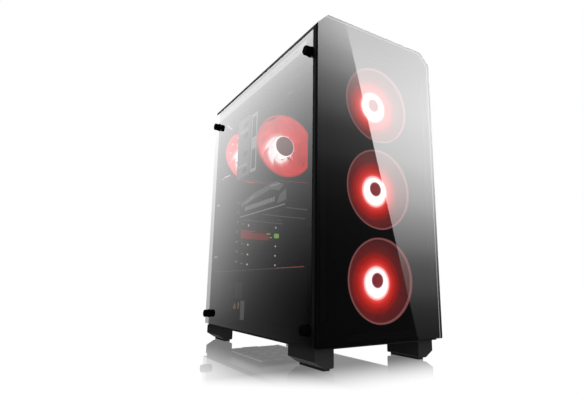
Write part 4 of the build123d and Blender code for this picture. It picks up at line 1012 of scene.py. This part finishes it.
def rear_details():
    """Edges of the card slots and their screws with painted highlights, clips beside them with painted light,
    dark covers painted as shade over the light slots, and painted glints round the rear fan.
    """
    marks, screws = [], []
    inner = box_mm("rear_panel")[1][1] - 1.0
    for number in range(7):
        z = SLOT_TOP - SLOT_PITCH * number
        marks.append(block((-45.4, inner - 3.5, z - 2.0), (-43.4, inner - 0.1, z + 4.0), 0.3))
        marks.append(block((-46.5, inner - 3.0, z + 6.0), (-43.0, inner - 0.1, z + 7.4), 0.3))
        marks.append(block((-38.0, inner - 3.0, z + 1.0), (-34.5, inner - 0.1, z + 2.4), 0.3))
        screws.append(rod((-48.5, inner - 4.0, z + 4.5), (-48.5, inner - 1.0, z + 4.5), 1.7, 18))
    # Slot edges and screws: pale steel with painted highlights
    piece("slot_edge_marks", marks, "pale_steel_painted_light")
    piece("slot_screws", screws, "pale_steel_painted_light")
    # Clips: white plastic with painted light
    clips = [block((-96.5, 183.0, z - 1.4), (-89.5, 184.0, z + 1.4), 0.3) for z in LIGHT_SLOTS]
    piece("frame_clips", clips, "white_plastic_painted_light")
    # Dark covers over the light slots: painted shade
    shade_covers = []
    for z in LIGHT_SLOTS:
        shade_covers.append(block((-96.5, 184.2, z + 1.5), (-89.5, 185.4, z + 14.0), 0.3))
        shade_covers.append(block((-96.5, 184.2, z - 14.0), (-89.5, 185.4, z - 1.5), 0.3))
    piece("slot_painted_shade_covers", shade_covers, "chip_black")
    rear_low, rear_high = box_mm("rear_fan_frame")
    # Painted glints at the corners of the rear fan frame
    glint_bars = []
    for corner_z, lean in ((rear_high[2] - 7, -1), (rear_low[2] + 9, 1)):
        glint_bars.append(corner_bar(rear_low[0] + 7, rear_low[1] - 0.6, corner_z, lean))
    piece("rear_fan_painted_glints", glint_bars, "painted_glint")
    middle = centre_of("rear_fan_rotor") * 1000
    dots = []
    for ring, count in ((29, 9), (38, 12), (47, 15)):
        for step in range(count):
            turn = 2 * math.pi * (step + 0.5 * (ring % 2)) / count
            x, z = middle.x + ring * math.cos(turn), middle.z + ring * math.sin(turn)
            dots.append(rod((x, rear_low[1] + 1.0, z), (x, rear_low[1] + 1.6, z), 2.3, 16))
    piece("rear_fan_dots", dots, "dot_glow")


def corner_bar(x, y, z, lean):
    """Small slanted bar in front of a fan frame's corner, a painted glint."""
    return rod((x - 5, y, z - 4 * lean), (x + 6, y, z + 3 * lean), 0.9, 12)


def board_details():
    """Chips, capacitors, chokes, slot latches and headers of the motherboard."""
    x = box_mm("motherboard")[0][0]
    chips, cans, chokes, latches, contacts = [], [], [], [], []
    for y, z, w, h in ((-40, 210, 10, 10), (-44, 250, 14, 8), (30, 150, 12, 12), (60, 172, 8, 8),
                       (120, 146, 12, 12),
                       (-30, 286, 9, 9), (150, 272, 10, 10), (52, 284, 7, 7), (96, 246, 6, 6),
                       (160, 168, 9, 9)):
        chips.append(block((x - 1.6, y, z), (x - 0.05, y + w, z + h), 0.2))
    for step in range(6):
        y, z = 156.0 + 7.2 * (step % 2), 306 + 16 * step
        cans.append(rod((x - 6.5, y, z), (x - 0.05, y, z), 3.1, 20))
    for y, z in ((20, 142), (28, 142), (36, 142), (-20, 150), (-20, 220), (140, 156), (150, 156), (48, 300),
                 (56, 300),
                 (100, 300), (112, 300), (30, 396), (30, 380), (30, 364)):
        cans.append(rod((x - 7.5, y, z), (x - 0.05, y, z), 3.0, 20))
    for step in range(6):
        chokes.append(block((x - 5.0, 118 - 12.5 * step, 412), (x - 0.05, 127 - 12.5 * step, 421), 0.8))
    for step in range(5):
        y, z = 150.0 - 0.4 * step, 300 + 21 * step
        chokes.append(block((x - 5.0, y, z), (x - 0.05, y + 2.6, z + 9), 0.6))
    for y, z, w in ((-56, 144, 18), (-56, 156, 14), (-20, 134, 30), (30, 132, 22), (80, 133, 24),
                       (120, 134, 18)):
        latches.append(block((x - 8.5, y, z), (x - 0.05, y + w, z + 5.2), 0.5))
        for pin in range(int(w / 2.6)):
            start = y + 1.6 + 2.5 * pin
            contacts.append(block((x - 8.9, start, z + 1.9), (x - 8.55, start + 0.8, z + 2.9)))
    for y in range(-44, 170, 11):
        for z in (192, 236, 280):
            if (y * 7 + z) % 4:
                chips.append(block((x - 0.9, y, z), (x - 0.05, y + 2.2, z + 1.2)))
    piece("board_chips", chips, "chip_black")
    piece("board_capacitors", cans, "capacitor")
    # Chokes: grey with painted light
    piece("board_chokes", chokes, "grey_trim_painted_light")
    piece("board_headers", latches, "connector_plastic")
    piece("board_pins", contacts, "gold_contact")
    card_low = box_mm("expansion_card")[0]
    # Green plug: green plastic with painted light
    green = [block((-2.0, 106.0, card_low[2] - 9.0), (7.0, 111.8, card_low[2] - 0.2), 1.2),
             block((-17.0, 112.5, card_low[2] - 2.4), (-9.0, 113.5, card_low[2] - 0.2), 0.3)]
    piece("card_green_plug", green, "green_plastic_painted_light")
    parts = []
    for n in range(7):
        px, py = -10 + 9 * n, 124 + 6 * (n % 3)
        parts.append(block((px, py, card_low[2] - 1.6), (px + 6, py + 7, card_low[2] - 0.05), 0.2))
    piece("card_chips", parts, "chip_black")


def supply_details():
    """Generic label and marks on the power supply, seen through the window of its cover, the strip, bars and
    marks with painted light; and the cover's top edge with painted light and a painted red reflection.
    """
    x = box_mm("psu_case")[0][0]
    label = [block((x - 0.30, 66, 46), (x - 0.05, 148, 112), 0.1)]
    piece("supply_label", label, "label_paper")
    bars = [block((x - 0.50, 60, 43), (x - 0.05, 76, 75), 0.15)]
    bars += [block((x - 0.42, 84 + 6 * n, 78), (x - 0.31, 71 + 7 * n, 106), 0.03) for n in range(4)]
    bars += [block((x - 0.42, 112 + 7 * n, 54), (x - 0.31, 113 + 7 * n, 104), 0.03) for n in range(5)]
    piece("supply_strip", bars[:1], "grey_trim_painted_light")
    piece("supply_label_bars", bars[1:], "dim_trim_painted_light")
    marks = [prism_x([(94, 60), (110, 60), (102, 72)], x - 0.46, x - 0.31),
             block((x - 0.44, 82, 61), (x - 0.31, 89, 72), 0.05)]
    piece("supply_marks", marks, "yellow_mark_painted_light")
    shroud_low, shroud_high = box_mm("psu_shroud")
    sx, top = shroud_low[0], shroud_high[2]
    # Top edge of the cover with painted light, and a painted red reflection of the fans along its front part
    edge = block((sx - 0.35, -150, top - 1.2), (sx - 0.05, 178, top - 0.4), 0.1)
    glow = block((sx - 0.36, -150, top - 0.3), (sx - 0.05, -72, top + 0.25), 0.1)
    piece("cover_edge", [edge], "grey_trim_painted_light")
    piece("cover_edge_painted_red_reflection", [glow], "painted_red_reflection")


def frame_details():
    """Top strip of the frame behind the glass, made bright by painted light, its faint slots with painted
    light, and painted red reflections of the fans.
    """
    x = box_mm("left_frame")[0][0]
    strip = block((x - 0.30, -160, 437), (x - 0.05, 186, 451), 0.1)
    piece("frame_top_strip", [strip], "pale_steel_painted_light")
    slots = [block((x - 0.42, -134 + 26 * n, 443.6), (x - 0.31, -122 + 26 * n, 446.4), 0.05)
             for n in range(11)]
    piece("frame_top_slots", slots, "grey_trim_painted_light")
    # Thin painted red reflections of the fans' light
    piece("frame_painted_red_reflections", [rod((-90, -92, 396.0), (-90, -104, 394.5), 0.5, 8),
                               rod((-86, -62, 262.0), (-86, -150, 241.0), 0.22, 8)], "painted_red_reflection")


# Woven dust screens, in millimetres
MESH_PITCH = 2.0
MESH_WIRE = 0.7


def woven(low, high, pitch, wire, z):
    """Wires of a flat woven screen between two corners, in millimetres."""
    shapes = []
    count = int((high[0] - low[0]) / pitch)
    for number in range(1, count):
        x = low[0] + (high[0] - low[0]) * number / count
        shapes.append(block((x - wire / 2, low[1], z - wire / 2), (x + wire / 2, high[1], z + wire / 2)))
    count = int((high[1] - low[1]) / pitch)
    for number in range(1, count):
        y = low[1] + (high[1] - low[1]) * number / count
        start, end = (low[0], y - wire / 2, z - wire * 0.55), (high[0], y + wire / 2, z + wire * 0.45)
        shapes.append(block(start, end))
    return shapes


def top_screen():
    """Magnetic dust screen of the roof: a thin rim with a fine woven mesh."""
    low, high = box_mm("top_filter")
    rim = 6.0
    base, middle = low[2] + 0.02, (low[1] + high[1]) / 2
    inner_low, inner_high = (low[0] + rim, low[1] + rim), (high[0] - rim, high[1] - rim)
    shapes = [
        block((low[0], low[1], base), (high[0], inner_low[1], high[2]), 0.4),
        block((low[0], inner_high[1], base), (high[0], high[1], high[2]), 0.4),
        block((low[0], inner_low[1], base), (inner_low[0], inner_high[1], high[2]), 0.4),
        block((inner_high[0], inner_low[1], base), (high[0], inner_high[1], high[2]), 0.4),
        block((inner_low[0], middle - 2, base), (inner_high[0], middle + 2, high[2] - 0.2), 0.3),
    ]
    piece("top_filter_rim", shapes, "filter_black", "top_filter", "top_filter")
    mesh = woven(inner_low, inner_high, MESH_PITCH, MESH_WIRE, (low[2] + high[2]) / 2 + 0.1)
    piece("top_filter_mesh", mesh, "mesh_black", "top_filter", "top_filter")


def bottom_screen():
    """Fine woven mesh held in the bars of the floor filter."""
    low, high = box_mm("bottom_filter")
    middle = (low[2] + high[2]) / 2
    mesh = woven((low[0] + 4, low[1] + 4), (high[0] - 4, high[1] - 14), MESH_PITCH, MESH_WIRE, middle)
    piece("bottom_filter_mesh", mesh, "mesh_black", "bottom_filter")


cooler_details()
graphics_details()
rear_details()
board_details()
supply_details()
frame_details()
top_screen()
bottom_screen()
